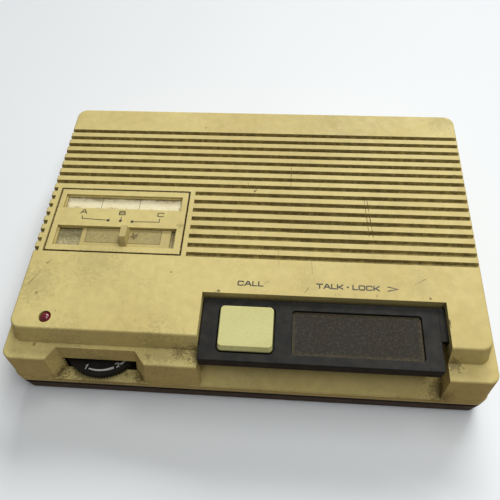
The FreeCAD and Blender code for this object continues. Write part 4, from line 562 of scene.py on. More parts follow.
@dataclass(frozen=True)
class Finish:
    """What every finish has: a name and a colour that drifts to an aged one."""

    name: str
    colour: Rgb
    aged: Rgb
    roughness: float = 0.5
    drift: float = 0.6
    patch: float = 0.03

    def build(self, effects: Effects) -> bpy.types.Material:
        """Builds the material.

        Args:
            effects: the shared node groups.

        Returns:
            The finished material.
        """
        surface = Surface(self.name, effects)
        self.dress(surface, surface.drift(self.colour, self.aged, self.drift, self.patch))
        return surface.material

    def dress(self, surface: Surface, colour: bpy.types.NodeSocket) -> None:
        """Feeds the shader.

        Args:
            surface: the material.
            colour: the drifting colour.
        """
        surface.set(base_color=colour)


@dataclass(frozen=True)
class Moulded(Finish):
    """Moulded plastic or rubber with a fine grain, dust and scuffs."""

    grain: float = 0.0004
    depth: float = 0.000006
    dust: float = 0.15
    dust_colour: Rgb = srgb(150, 140, 112)
    scuff: float = 0.25
    scuff_colour: Rgb = srgb(120, 112, 92)
    shine: float = 0.5

    def dress(self, surface: Surface, colour: bpy.types.NodeSocket) -> None:
        """Adds dust, scuffs, uneven gloss and grain.

        Args:
            surface: the material.
            colour: the drifting colour.
        """
        effects = surface.effects
        dust = surface.group(effects.dust, "Mask", amount=self.dust, grit=0.004)
        scuffs = surface.group(effects.scratches, "Mask", angle=0.5, size=0.018, share=0.6)
        colour = surface.dirt(colour, dust, self.dust_colour)
        colour = surface.dirt(colour, scuffs, self.scuff_colour, self.scuff)
        wear = surface.noise(0.006, 4.0)
        gloss = surface.ramp(wear, NOISE_LOW, NOISE_HIGH, self.roughness - 0.07, self.roughness + 0.07)
        rough = surface.math("ADD", gloss, surface.math("MULTIPLY", dust, 0.3))
        surface.set(base_color=colour, roughness=rough, specular_ior_level=self.shine)
        surface.bump(surface.group(effects.grain, "Height", size=self.grain, depth=self.depth))


@dataclass(frozen=True)
class RaggedPatch:
    """A ragged patch laid on a surface, in millimetres; most are stains of dirt, some are painted shade and
    some painted shadow.
    """

    centre: Spot
    radius: float
    grit: float = 0.9
    softness: float = 0.12
    amount: float = 0.75

    def mask(self, surface: Surface) -> bpy.types.NodeSocket:
        """Builds its mask.

        Args:
            surface: the material that it lies on.

        Returns:
            Where it lies, times its amount.
        """
        centre = tuple(c * MM for c in self.centre)
        mask = surface.group(
            surface.effects.ragged_patch, "Mask", centre=centre, radius=self.radius * MM, grit=self.grit * MM,
            softness=self.softness
        )
        return surface.math("MULTIPLY", mask, self.amount)


@dataclass(frozen=True)
class Scuff:
    """A thin dark line worn onto the casing's top, in millimetres."""

    start: Point
    end: Point
    width: float = 0.32
    amount: float = 0.7
    height: float = 36.0

    def mask(self, surface: Surface) -> bpy.types.NodeSocket:
        """Builds its mask.

        Args:
            surface: the material that it lies on.

        Returns:
            Where it lies, times its amount.
        """
        start, end = ((x * MM, y * MM, self.height * MM) for x, y in (self.start, self.end))
        mask = surface.group(surface.effects.scuff, "Mask", start=start, end=end, width=self.width * MM)
        return surface.math("MULTIPLY", mask, self.amount)


@dataclass(frozen=True)
class CasingPlastic(Moulded):
    """The aged casing: dirt and painted shade in the grooves and corners, a painted highlight and a painted
    shadow at the seam, scuffs, specks and handling stains.
    """

    # The dirt colour, also used for the painted shade in corners and grooves.
    dirt: Rgb = srgb(66, 53, 24)
    grey: Rgb = srgb(92, 84, 58)
    # Colour of the painted seam shadow.
    black: Rgb = srgb(10, 8, 5)
    # Colour of the painted highlight on the lip above the seam.
    edge: Rgb = srgb(226, 214, 158)
    stains: tuple[RaggedPatch, ...] = ()
    patches: tuple[RaggedPatch, ...] = ()
    scuffs: tuple[Scuff, ...] = ()
    seam: float = 9.5 * MM
    outline: tuple[Point, Point] = ((0.0, 0.0), (0.0, 0.0))
    reach: float = 0.005
    in_corners: float = 0.72
    lip_highlight_amount: float = 0.5
    in_film: float = 0.2
    scratched: tuple[tuple[float, ...], ...] = ((0.9, 0.03, 0.5, 0.45), (1.45, 0.024, 0.45, 0.5))

    def dress(self, surface: Surface, colour: bpy.types.NodeSocket) -> None:
        """Lays the dirt, the painted shade, the painted highlight and the painted seam shadow over the aged
        colour.

        Args:
            surface: the material.
            colour: the drifting colour.
        """
        effects = surface.effects
        # Corners and grooves darkened by how open they are: dirt with painted shade.
        cavity_dirt_and_shade = surface.group(effects.cavity_dirt_and_shade, "Mask", openness=surface.openness(self.reach), grit=0.0022)
        colour = surface.dirt(colour, cavity_dirt_and_shade, self.dirt, self.in_corners)
        # A painted highlight: the band of the lip just above the seam is lightened.
        lip_highlight = surface.group(effects.level, "Mask", full=self.seam + 0.0009, none=self.seam + 0.0014)
        colour = surface.dirt(colour, lip_highlight, self.edge, self.lip_highlight_amount)
        # A painted seam shadow: the casing below the seam is painted near black.
        seam = surface.group(effects.level, "Mask", full=self.seam - 0.0004, none=self.seam)
        colour = surface.dirt(colour, seam, self.black)
        away = surface.math("ABSOLUTE", surface.rim(*self.outline))
        line = surface.math("MULTIPLY_ADD", surface.noise(0.0015, 4.0, 0.7), 0.0006, -0.0003)
        near = surface.ramp(surface.math("ADD", away, line), 0.00055, 0.0002)
        colour = surface.dirt(colour, near, self.dirt)
        # Grey patches (the two broad ones at the back of the top are painted shade), then stains and
        # scuffs.
        for marks, dirt in ((self.patches, self.grey), (self.stains, self.dirt), (self.scuffs, self.dirt)):
            for mark in marks:
                colour = surface.dirt(colour, mark.mask(surface), dirt)
        specks = surface.group(effects.specks, "Mask", size=0.0065, share=0.3)
        colour = surface.dirt(colour, specks, self.dirt, 0.75)
        broad = surface.ramp(surface.noise(0.02, 5.0, 0.7), 0.5, 0.72)
        fine = surface.ramp(surface.noise(0.0012, 3.0, 0.7), 0.45, 0.62)
        colour = surface.dirt(colour, surface.math("MULTIPLY", broad, fine), self.grey, self.in_film)
        for angle, size, share, amount in self.scratched:
            scratches = surface.group(effects.scratches, "Mask", angle=angle, size=size, share=share)
            colour = surface.dirt(colour, scratches, self.grey, amount)
        gloss = surface.ramp(
            surface.noise(0.009, 4.0), NOISE_LOW, NOISE_HIGH, self.roughness - 0.06, self.roughness + 0.08
        )
        rough = surface.math("MULTIPLY_ADD", cavity_dirt_and_shade, 0.3, gloss)
        surface.set(base_color=colour, roughness=rough, specular_ior_level=self.shine)
        surface.bump(surface.group(effects.grain, "Height", size=self.grain, depth=self.depth))


@dataclass(frozen=True)
class Skirted(Moulded):
    """Moulded plastic painted dark past a height as shadow, with painted shade on the faces that look
    forward.
    """

    # Colour of the painted shadow past a height.
    skirt_shadow: Rgb = srgb(30, 28, 20)
    skirt_full: float = -1.0
    skirt_none: float = -0.5
    # Colour of the painted shade on the faces that look forward.
    front_shade: Rgb = srgb(150, 138, 88)
    front_shade_amount: float = 0.0

    def dress(self, surface: Surface, colour: bpy.types.NodeSocket) -> None:
        """Lays the painted shade and the painted shadow under the usual wear.

        Args:
            surface: the material.
            colour: the drifting colour.
        """
        effects = surface.effects
        # Painted shade on the faces that look forward, broken up by noise.
        facing = surface.group(effects.facing, "Mask", direction=(0.0, -1.0, 0.0), least=0.25, full=0.6)
        front_shade_breakup = surface.ramp(surface.noise(0.0015, 4.0, 0.7), 0.35, 0.6, 0.4, 1.0)
        colour = surface.dirt(
            colour, surface.math("MULTIPLY", facing, front_shade_breakup), self.front_shade, self.front_shade_amount
        )
        # Painted shadow past a height.
        skirt_shadow = surface.group(effects.level, "Mask", full=self.skirt_full, none=self.skirt_none)
        super().dress(surface, surface.dirt(colour, skirt_shadow, self.skirt_shadow, 0.95))


@dataclass(frozen=True)
class PinPad(Moulded):
    """The talk insert: rows of moulded pins, browned with hand dirt towards its rim."""

    low: Point = (0.0, 0.0)
    high: Point = (0.0, 0.0)
    pitch: float = 0.001
    between: Rgb = srgb(24, 20, 14)
    rim_dirt: Rgb = srgb(92, 82, 56)
    grit_dirt: Rgb = srgb(104, 94, 70)
    pin_height: float = 0.00012

    def dress(self, surface: Surface, colour: bpy.types.NodeSocket) -> None:
        """Adds the pins and the dirt.

        Args:
            surface: the material.
            colour: the drifting colour.
        """
        effects = surface.effects
        near = surface.rim(self.low, self.high)
        ragged = surface.math("MULTIPLY_ADD", surface.noise(0.0012, 5.0, 0.75), 0.006, -0.003)
        rim = surface.ramp(surface.math("ADD", near, ragged), 0.0018, 0.0002)
        pins = surface.group(effects.weave, "Mask", pitch=self.pitch, angle=0.0)
        colour = surface.dirt(colour, rim, self.rim_dirt, 0.6)
        grit = surface.ramp(surface.noise(0.0009, 4.0, 0.75), 0.5, 0.66)
        colour = surface.dirt(colour, grit, self.grit_dirt, 0.4)
        colour = surface.dirt(colour, surface.ramp(pins, 0.5, 0.15), self.between, 0.75)
        rough = surface.ramp(pins, 0.2, 0.9, 0.75, self.roughness)
        surface.set(base_color=colour, roughness=rough, specular_ior_level=self.shine)
        surface.bump(surface.math("MULTIPLY", pins, self.pin_height))


@dataclass(frozen=True)
class Dusty(Moulded):
    """A part in the slot, mottled with trapped dust inside a level rectangle and below a height."""

    low: Point = (-1.0, -1.0)
    high: Point = (1.0, 1.0)
    below: float = 1.0
    mottle: Rgb = srgb(92, 78, 42)
    pale: Rgb = srgb(200, 192, 152)
    film: float = 0.25
    lint: float = 0.35
    amount: float = 0.5
    patches: tuple[RaggedPatch, ...] = ()

    def dress(self, surface: Surface, colour: bpy.types.NodeSocket) -> None:
        """Adds the dust, and dark patches in the mottle colour, used as painted shadow.

        Args:
            surface: the material.
            colour: the drifting colour.
        """
        effects = surface.effects
        low = surface.group(effects.level, "Mask", full=self.below, none=self.below + 0.0003)
        rim = surface.rim(self.low, self.high)
        inside = surface.ramp(rim, 0.0, 0.0004)
        there = surface.math("MULTIPLY", low, inside)
        mottle = surface.ramp(
            surface.noise(0.0006, 4.0, 0.7), 0.4, 0.62, self.film, self.film + self.amount
        )
        lint = surface.ramp(surface.noise(0.0012, 5.0, 0.75), 0.54, 0.64)
        colour = surface.dirt(colour, surface.math("MULTIPLY", mottle, there), self.mottle)
        colour = surface.dirt(colour, surface.math("MULTIPLY", lint, there), self.pale, self.lint)
        edge = surface.ramp(surface.math("ABSOLUTE", rim), 0.00035, 0.00005)
        colour = surface.dirt(colour, surface.math("MULTIPLY", low, edge), self.mottle, 0.7)
        # Dark patches, used as painted shadow.
        for patch in self.patches:
            colour = surface.dirt(colour, patch.mask(surface), self.mottle)
        super().dress(surface, colour)


@dataclass(frozen=True)
class Metal(Finish):
    """Plated, rolled or turned metal with a drawn grain and tarnish."""

    tarnish: Rgb = srgb(110, 96, 70)
    spread: float = 0.4

    def dress(self, surface: Surface, colour: bpy.types.NodeSocket) -> None:
        """Adds the drawn grain and the tarnish.

        Args:
            surface: the material.
            colour: the drifting colour.
        """
        lines = surface.group(surface.effects.brushing, "Mask", size=0.0004)
        dull = surface.ramp(surface.noise(0.004, 5.0, 0.7), 0.5, 0.7)
        colour = surface.dirt(colour, dull, self.tarnish, self.spread)
        rough = surface.math(
            "MULTIPLY_ADD", dull, 0.2,
            surface.ramp(lines, 0.0, 1.0, self.roughness - 0.08, self.roughness + 0.08)
        )
        surface.set(base_color=colour, metallic=1.0, roughness=rough)
        surface.bump(surface.math("MULTIPLY", lines, 0.000006))


@dataclass(frozen=True)
class Cloth(Finish):
    """Woven speaker cloth or wound tape."""

    pitch: float = 0.0009
    thread: Rgb = srgb(70, 68, 62)
    height: float = 0.0001

    def dress(self, surface: Surface, colour: bpy.types.NodeSocket) -> None:
        """Adds the threads.

        Args:
            surface: the material.
            colour: the drifting colour.
        """
        threads = surface.group(surface.effects.weave, "Mask", pitch=self.pitch)
        fuzz = surface.group(surface.effects.fibres, "Mask", size=0.0007)
        colour = surface.dirt(colour, surface.math("MULTIPLY", threads, fuzz), self.thread, 0.7)
        surface.set(
            base_color=colour, roughness=surface.ramp(fuzz, 0.0, 1.0, self.roughness, 1.0),
            sheen_weight=0.15
        )
        raised = surface.math("MULTIPLY_ADD", threads, 0.7, surface.math("MULTIPLY", fuzz, 0.3))
        surface.bump(surface.math("MULTIPLY", raised, self.height))


@dataclass(frozen=True)
class Paper(Finish):
    """Pressed paper, card or felt."""

    fibre: float = 0.0012
    fleck: Rgb = srgb(150, 130, 80)
    amount: float = 0.3

    def dress(self, surface: Surface, colour: bpy.types.NodeSocket) -> None:
        """Adds the fibres.

        Args:
            surface: the material.
            colour: the drifting colour.
        """
        fibres = surface.group(surface.effects.fibres, "Mask", size=self.fibre)
        colour = surface.dirt(colour, fibres, self.fleck, self.amount)
        surface.set(
            base_color=colour,
            roughness=surface.ramp(fibres, 0.0, 1.0, self.roughness, self.roughness + 0.15)
        )
        surface.bump(surface.math("MULTIPLY", fibres, 0.00002))


@dataclass(frozen=True)
class FloorPaper(Finish):
    """The studio's paper: pale to the eye, and less pale to the light that it gives back."""

    def dress(self, surface: Surface, colour: bpy.types.NodeSocket) -> None:
        """Shows the clean tone to the camera and the darker one to every other ray.

        Args:
            surface: the material.
            colour: the drifting colour, which isn't used on a clean floor.
        """
        seen = surface.node("ShaderNodeLightPath").outputs["Is Camera Ray"]
        cloud = surface.ramp(surface.noise(0.4, 2.0), NOISE_LOW, NOISE_HIGH, 0.97, 1.0)
        tone = surface.mix(seen, self.aged, self.colour)
        surface.set(
            base_color=surface.mix(1.0, tone, surface.grey(cloud), "MULTIPLY"), roughness=self.roughness,
            specular_ior_level=0.1
        )


@dataclass(frozen=True)
class LabelCard(Paper):
    """The yellowed name card, ruled into three and stained at its edges."""

    low: Point = (0.0, 0.0)
    high: Point = (0.0, 0.0)
    rules: tuple[float, ...] = ()
    rim_stain: Rgb = srgb(150, 126, 72)
    rule_ink: Rgb = srgb(150, 138, 96)

    def dress(self, surface: Surface, colour: bpy.types.NodeSocket) -> None:
        """Adds the rules and the stains.

        Args:
            surface: the material.
            colour: the drifting colour.
        """
        across = surface.node("ShaderNodeSeparateXYZ", {0: surface.place()}).outputs[0]
        near = surface.rim(self.low, self.high)
        ragged = surface.math("MULTIPLY_ADD", surface.noise(0.004, 5.0, 0.65), 0.008, -0.004)
        rim = surface.ramp(surface.math("ADD", near, ragged), 0.0022, -0.0002)
        colour = surface.dirt(colour, rim, self.rim_stain, 0.7)
        for rule in self.rules:
            away = surface.math("ABSOLUTE", surface.math("SUBTRACT", across, rule))
            colour = surface.dirt(colour, surface.ramp(away, 0.00024, 0.00008), self.rule_ink, 0.75)
        super().dress(surface, colour)


@dataclass(frozen=True)
class Board(Finish):
    """A printed circuit board with copper tracks under the lacquer."""

    track: Rgb = srgb(196, 160, 92)
    tracks_per_metre: float = 190.0

    def dress(self, surface: Surface, colour: bpy.types.NodeSocket) -> None:
        """Adds the tracks.

        Args:
            surface: the material.
            colour: the drifting colour.
        """
        cells = surface.node(
            "ShaderNodeTexVoronoi", {"Vector": surface.place(), "Scale": self.tracks_per_metre},
            feature="DISTANCE_TO_EDGE", distance="EUCLIDEAN"
        )
        tracks = surface.ramp(cells.outputs["Distance"], 0.1, 0.06)
        colour = surface.dirt(colour, tracks, self.track, 0.5)
        surface.set(
            base_color=colour, roughness=surface.ramp(tracks, 0.0, 1.0, self.roughness, 0.3),
            coat_weight=0.3
        )
        surface.bump(surface.math("MULTIPLY", tracks, 0.00003))


@dataclass(frozen=True)
class ClearSheet(Finish):
    """The clear label window, hazed by age and hair scratches."""

    haze: float = 0.1

    def build(self, effects: Effects) -> bpy.types.Material:
        """Returns a material that shows what lies behind it under a gloss.

        Args:
            effects: the shared node groups.

        Returns:
            The material.
        """
        surface = Surface(self.name, effects)
        haze = surface.ramp(surface.noise(0.003, 5.0, 0.7), 0.4, 0.7, self.haze * 0.4, self.haze)
        lines = surface.group(effects.scratches, "Mask", angle=0.15, size=0.01, share=0.9)
        surface.set(
            base_color=self.colour,
            roughness=surface.ramp(haze, 0.0, self.haze, self.roughness, self.roughness + 0.2)
        )
        veil = surface.math("MAXIMUM", haze, surface.math("MULTIPLY", lines, 0.12))
        gloss = surface.node("ShaderNodeFresnel", {"IOR": 1.49}).outputs[0]
        share = surface.math("ADD", veil, surface.math("MULTIPLY", gloss, 0.25), clamp=True)
        clear = surface.node("ShaderNodeBsdfTransparent", {"Color": self.aged}).outputs[0]
        both = surface.node(
            "ShaderNodeMixShader", {0: share, 1: clear, 2: surface.shader.outputs[0]}
        ).outputs[0]
        surface.feed(surface.tree.nodes["Material Output"].inputs["Surface"], both)
        return surface.material


@dataclass(frozen=True)
class Lamp(Finish):
    """The unlit red lamp lens."""

    def dress(self, surface: Surface, colour: bpy.types.NodeSocket) -> None:
        """Adds depth and a worn gloss.

        Args:
            surface: the material.
            colour: the drifting colour.
        """
        dull = surface.ramp(surface.noise(0.0008, 4.0), 0.35, 0.7, self.roughness, self.roughness + 0.18)
        surface.set(base_color=colour, roughness=dull, coat_weight=0.25, coat_roughness=0.08)
        surface.bump(surface.math("MULTIPLY", surface.noise(0.0006, 2.0), 0.00001))


@dataclass(frozen=True)
class Print(Finish):
    """Printed ink, worn thin in places so that the surface shows through."""

    worn: float = 0.35

    def dress(self, surface: Surface, colour: bpy.types.NodeSocket) -> None:
        """Adds the wear.

        Args:
            surface: the material.
            colour: the drifting colour.
        """
        rub = surface.ramp(surface.noise(0.0005, 4.0, 0.7), 0.5, 0.66)
        surface.set(
            base_color=surface.dirt(colour, rub, self.aged, self.worn),
            roughness=surface.ramp(rub, 0.0, 1.0, self.roughness, 0.8)
        )


# --- printed marks ------------------------------------------------------------------------

GLYPHS: dict[str, tuple[tuple[Point, ...], ...]] = {
    "A": (((0, 0), (0.40, 1), (0.60, 1), (1, 0)), ((0.17, 0.34), (0.83, 0.34))),
    "B": (
        (
            (0, 0.52), (0.86, 0.52), (1, 0.4), (1, 0.12), (0.86, 0), (0, 0), (0, 1), (0.8, 1), (0.92, 0.88),
            (0.92, 0.64), (0.86, 0.52)
        ),
    ),
    "C": (((1, 0.84), (0.88, 1), (0.12, 1), (0, 0.86), (0, 0.14), (0.12, 0), (0.88, 0), (1, 0.16)),),
    "K": (((0, 0), (0, 1)), ((0, 0.48), (0.3, 0.48), (1, 1)), ((0.3, 0.48), (1, 0))),
    "L": (((0, 1), (0, 0), (1, 0)),),
    "O": (
        (
            (0.5, 0), (0.12, 0), (0, 0.14), (0, 0.86), (0.12, 1), (0.88, 1), (1, 0.86), (1, 0.14),
            (0.88, 0), (0.5, 0)
        ),
    ),
    "T": (((0, 1), (1, 1)), ((0.5, 1), (0.5, 0))),
    "1": (((0.15, 0.74), (0.55, 1), (0.55, 0)),),
    "2": (((0, 1), (0.85, 1), (1, 0.85), (1, 0.6), (0, 0.15), (0, 0), (1, 0)),),
    "3": (
        ((0, 1), (0.86, 1), (1, 0.86), (1, 0.64), (0.86, 0.52), (0.25, 0.52)),
        ((0.86, 0.52), (1, 0.38), (1, 0.14), (0.86, 0), (0, 0))
    ),
    "4": (((0.75, 0), (0.75, 1), (0, 0.3), (1, 0.3)),),
    "5": (((1, 1), (0, 1), (0, 0.56), (0.86, 0.56), (1, 0.42), (1, 0.14), (0.86, 0), (0, 0)),),
    ">": (((0, 1), (1, 0.5), (0, 0)),),
}


class Marks:
    """One mesh of thin printed strokes that lie on a face."""

    def __init__(self, name: str, lift: float = 0.012 * MM) -> None:
        """Starts the mesh.

        Args:
            name: the piece's name.
            lift: how far apart the strokes' heights are, so that neighbours don't share a plane.
        """
        self.name, self.lift, self.drawn = name, lift, 0
        self.mesh = bmesh.new()

    def _level(self) -> float:
        """Returns the next stroke's height above the face, one of a few that take turns."""
        self.drawn += 1
        return self.lift * (1 + self.drawn % STROKE_LEVELS)

    def stroke(self, path: Sequence[Point], widths: Sequence[float] | float, place: Matrix) -> None:
        """Draws a line of some width with mitred corners.

        Args:
            path: its points in the place's own plane.
            widths: its width, or one for each point.
            place: where that plane is.
        """
        spots = [Vector(p).to_2d() for p in path]
        wide = [widths] * len(spots) if isinstance(widths, float) else list(widths)
        level = self._level()
        rows = []
        for i, spot in enumerate(spots):
            before = (spot - spots[i - 1]).normalized() if i else None
            after = (spots[i + 1] - spot).normalized() if i + 1 < len(spots) else None
            first, second = before or after, after or before
            sides = [Vector((-d.y, d.x)) for d in (first, second)]
            mitre = (sides[0] + sides[1]).normalized()
            reach = wide[i] / 2 / max(mitre.dot(sides[0]), 0.5)
            back = -wide[i] / 2 if before is None else 0
            forth = wide[i] / 2 if after is None else 0
            end = first * back + second * forth
            edges = [Vector((*(spot + end + mitre * reach * s), level)) for s in (1, -1)]
            rows.append([self.mesh.verts.new(place @ edge) for edge in edges])
        for (a, b), (c, d) in zip(rows, rows[1:]):
            self.mesh.faces.new((a, b, d, c))

    def text(
        self, words: str, widths: Sequence[float], gap: float, height: float, pen: float, place: Matrix
    ) -> None:
        """Draws letters left to right.

        Args:
            words: the letters, each drawn if it is known.
            widths: each letter's width.
            gap: the room between letters.
            height: the letters' height.
            pen: the strokes' width.
            place: the plane, with its origin at the foot of the first letter.
        """
        along = 0.0
        for letter, width in zip(words, widths):
            for path in GLYPHS.get(letter, ()):
                self.stroke([(along + x * width, y * height) for x, y in path], pen, place)
            along += width + gap

    def dot(self, centre: Point, radius: float, place: Matrix) -> None:
        """Draws a filled round dot.

        Args:
            centre: its middle in the place's plane.
            radius: its radius.
            place: the plane.
        """
        level = self._level()
        turns = [i * math.tau / DOT_SIDES for i in range(DOT_SIDES)]
        rim = [(centre[0] + radius * math.cos(t), centre[1] + radius * math.sin(t), level) for t in turns]
        self.mesh.faces.new([self.mesh.verts.new(place @ Vector(p)) for p in rim])

    def finish(self, body: Body, slot: Slot, material: bpy.types.Material) -> bpy.types.Object:
        """Makes the piece.

        Args:
            body: what it rides on.
            slot: a record slot; not used.
            material: its material.

        Returns:
            The piece.
        """
        return piece(self.name, self.mesh, body, material)


def piece(
    name: str, mesh: bmesh.types.BMesh, body: Body, material: bpy.types.Material
) -> bpy.types.Object:
    """Makes an object of a mesh, and has it ride on a body.

    Args:
        name: the piece's name.
        mesh: its mesh, which is freed.
        body: what it rides on.
        material: its material.

    Returns:
        The piece.
    """
    bmesh.ops.recalc_face_normals(mesh, faces=mesh.faces)
    data = bpy.data.meshes.new(name)
    mesh.to_mesh(data)
    mesh.free()
    data.materials.append(material)
    made = bpy.data.objects.new(name, data)
    bpy.context.scene.collection.objects.link(made)
    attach(made, body.value)
    LOG.info("%s rides on %s", name, body.value)
    return made


def wear(material: bpy.types.Material, *nodes: str) -> None:
    """Puts a material on CAD nodes.

    Args:
        material: the material.
        nodes: the nodes' names.
    """
    for name in nodes:
        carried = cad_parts[name]
        for slot in carried.material_slots:
            slot.material = material
        LOG.info("%s wears %s", name, material.name)


def flat(x: float, y: float, z: float, turn: float = 0.0) -> Matrix:
    """Returns a level plane at a point, turned about the vertical by an angle in radians."""
    return Matrix.Translation((x, y, z)) @ Matrix.Rotation(turn, 4, "Z")


def spans(*nodes: str) -> tuple[Vector, Vector]:
    """Measures the box round some CAD nodes.

    Args:
        nodes: the nodes' names.

    Returns:
        Its low and high corners.
    """
    boxes = [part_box(name) for name in nodes]
    low = Vector([min(box[0][k] for box in boxes) for k in range(3)])
    high = Vector([max(box[1][k] for box in boxes) for k in range(3)])
    return low, high


# --- sub-assemblies -----------------------------------------------------------------------


@dataclass
class Housing:
    """The casing, base tray, feet and screws, with the keys' printed words."""

    effects: Effects
    top: float = 36.0 * MM
    cap_height: float = 1.75 * MM
    pen: float = 0.5 * MM
    call_foot: Point = (-3.8 * MM, -32.75 * MM)
    talk_foot: Point = (26.7 * MM, -32.6 * MM)
    call_widths: tuple[float, ...] = (2.0, 2.3, 1.6, 1.6)
    talk_widths: tuple[float, ...] = (2.2, 2.2, 1.6, 1.95)
    lock_widths: tuple[float, ...] = (1.6, 2.15, 2.05, 1.95)
    wide_gap: float = 0.72 * MM
    talk_gap: float = 0.66 * MM
    dot_along: float = 11.9 * MM
    dot_radius: float = 0.42 * MM
    lock_along: float = 13.9 * MM
    arrow_along: float = 27.3 * MM
    arrow_width: float = 3.6 * MM
    arrow_pen: float = 1.1

    def materials(self) -> dict[str, bpy.types.Material]:
        """Builds the housing's finishes.

        Returns:
            The materials, by the part that wears them.
        """
        stains = (
            RaggedPatch((-18.2, -58.6, 28.2), 6.5, 0.8, 0.3, 0.6),
            RaggedPatch((-24.5, -58.5, 28.4), 4.5, 0.7, amount=0.55),
            RaggedPatch((75.0, -64.0, 15.0), 7.5, 0.8, 0.3, 0.6),
            RaggedPatch((73.0, -62.0, 19.0), 5.0, 0.7, amount=0.45),
            RaggedPatch((-74.8, -64.6, 13.4), 4.6, 0.8, 0.3, 0.6),
            RaggedPatch((-71.5, -61.5, 14.0), 4.5, 0.8, 0.3, 0.5),
            RaggedPatch((-41.2, -64.2, 13.4), 5.0, 0.8, 0.3, 0.6), RaggedPatch((-47.5, -63.2, 13.1), 2.0, amount=0.5),
            RaggedPatch((-66.0, -64.0, 13.1), 5.0, amount=0.45), RaggedPatch((77.0, -57.5, 28.6), 5.0, amount=0.55),
            RaggedPatch((-81.4, -58.4, 28.6), 1.3, amount=0.6), RaggedPatch((-36.3, -61.0, 28.4), 1.5, amount=0.5),
            RaggedPatch((-30.4, -5.6, 36.0), 2.2, amount=0.35), RaggedPatch((-11.2, -35.7, 36.0), 1.2),
            RaggedPatch((-0.1, 13.8, 36.0), 0.9), RaggedPatch((69.4, -35.0, 36.0), 0.8),
        )
        patches = (
            RaggedPatch((-62.0, -24.0, 36.0), 16.0, 1.1, 0.3, 0.16),
            RaggedPatch((-84.0, -36.0, 36.0), 12.0, 1.8, 0.4, 0.2),
            RaggedPatch((24.0, -30.0, 36.0), 9.0, 1.1, 0.3, 0.1), RaggedPatch((66.0, -30.0, 36.0), 9.0, 1.1, 0.3, 0.1),
            RaggedPatch((-58.0, -63.5, 13.1), 18.0, 0.8, 0.3, 0.35),
            RaggedPatch((-70.0, -57.0, 28.6), 14.0, 1.2, 0.4, 0.22),
            RaggedPatch((-32.0, -57.0, 28.6), 14.0, 1.1, 0.3, 0.25),
            # These two darken the back of the top: painted shade.
            RaggedPatch((40.0, 55.0, 36.0), 26.0, 3.0, 0.47, 0.12),
            RaggedPatch((84.0, 58.0, 36.0), 10.0, 2.0, 0.3, 0.2),
        )
        scuffs = (
            Scuff((46.7, 10.4), (47.9, -8.0), 0.34, 0.85), Scuff((47.8, 10.4), (49.5, -8.2), 0.4, 0.9),
            Scuff((15.3, 28.2), (15.3, 16.9), 0.26), Scuff((24.6, -20.7), (25.0, -26.0), 0.22),
            Scuff((11.1, -14.6), (11.7, -23.8), 0.22, 0.5), Scuff((-3.6, 18.3), (-2.7, 16.2), 0.24),
            Scuff((-0.7, 13.2), (0.6, 14.4), 0.4, 0.9), Scuff((4.0, -17.0), (5.1, -18.3), 0.3),
            Scuff((-87.1, -36.2), (-83.3, -28.6), 0.34, 0.6),
            Scuff((-82.3, -26.4), (-80.3, -24.6), 0.6, 0.6),
            Scuff((22.0, -35.0), (23.7, -32.6), 0.34, 0.6), Scuff((63.8, -29.7), (68.6, -26.7), 0.3, 0.45),
            Scuff((6.4, -31.7), (7.9, -30.6), 0.5, 0.6), Scuff((49.4, -35.4), (49.6, -34.4), 0.5, 0.6),
            Scuff((75.45, -43.6), (75.5, -46.7), 0.5, 0.9), Scuff((-83.0, -39.7), (-82.8, -40.1), 0.5, 0.7),
            Scuff((-31.0, -28.0), (-30.8, -28.3), 0.5, 0.7),
            Scuff((-73.3, -47.1), (-73.0, -47.2), 0.45, 0.7),
        )
        casing = CasingPlastic(
            "aged_khaki_plastic", srgb(213, 196, 128), srgb(190, 170, 104), roughness=0.6, drift=0.6,
            patch=0.06,
            grain=0.0005, depth=0.000012, shine=0.3, dirt=srgb(74, 57, 22), stains=stains, patches=patches,
            scuffs=scuffs, outline=((-85.5 * MM, -20.1 * MM), (-28.5 * MM, 12.0 * MM)),
        )
        # The top of the base is painted near black: painted shadow in the reveal under the casing.
        base = Skirted(
            "dark_brown_plastic", srgb(60, 51, 47), srgb(48, 40, 36), roughness=0.45, depth=0.00001,
            skirt_full=8.4 * MM, skirt_none=8.0 * MM, skirt_shadow=srgb(8, 6, 5),
        )
        rubber = Moulded(
            "foot_rubber", srgb(40, 38, 35), srgb(58, 54, 46), roughness=0.8, grain=0.0007, depth=0.00002
        )
        steel = Metal("zinc_steel", srgb(178, 176, 168), srgb(160, 156, 144), roughness=0.35)
        finishes = {"casing": casing, "base": base, "rubber": rubber, "steel": steel}
        return {name: finish.build(self.effects) for name, finish in finishes.items()}

    def dress(self, materials: dict[str, bpy.types.Material]) -> None:
        """Puts the finishes on the CAD nodes.

        Args:
            materials: the housing's materials.
        """
        wear(materials["casing"], "upper_casing")
        wear(materials["base"], "base_tray")
        wear(materials["rubber"], "rubber_feet")
        wear(materials["steel"], "case_screws")

    def words(self, ink: bpy.types.Material) -> None:
        """Prints the keys' words on the casing.

        Args:
            ink: the ink.
        """
        call = Marks("call_words")
        place = flat(*self.call_foot, self.top)
        call.text(
            "CALL", [w * MM for w in self.call_widths], self.wide_gap, self.cap_height, self.pen, place
        )
        call.finish(Body.CASE, Slot.INK, ink)
        talk = Marks("talk_words")
        place = flat(*self.talk_foot, self.top)
        widths = [w * MM for w in self.talk_widths]
        talk.text("TALK", widths, self.talk_gap, self.cap_height, self.pen, place)
        talk.dot((self.dot_along, self.cap_height / 2), self.dot_radius, place)
        place = flat(self.talk_foot[0] + self.lock_along, self.talk_foot[1], self.top)
        widths = [w * MM for w in self.lock_widths]
        talk.text("LOCK", widths, self.wide_gap, self.cap_height, self.pen, place)
        place = flat(self.talk_foot[0] + self.arrow_along, self.talk_foot[1], self.top)
        talk.text(">", [self.arrow_width], 0.0, self.cap_height, self.pen * self.arrow_pen, place)
        talk.finish(Body.CASE, Slot.INK, ink)


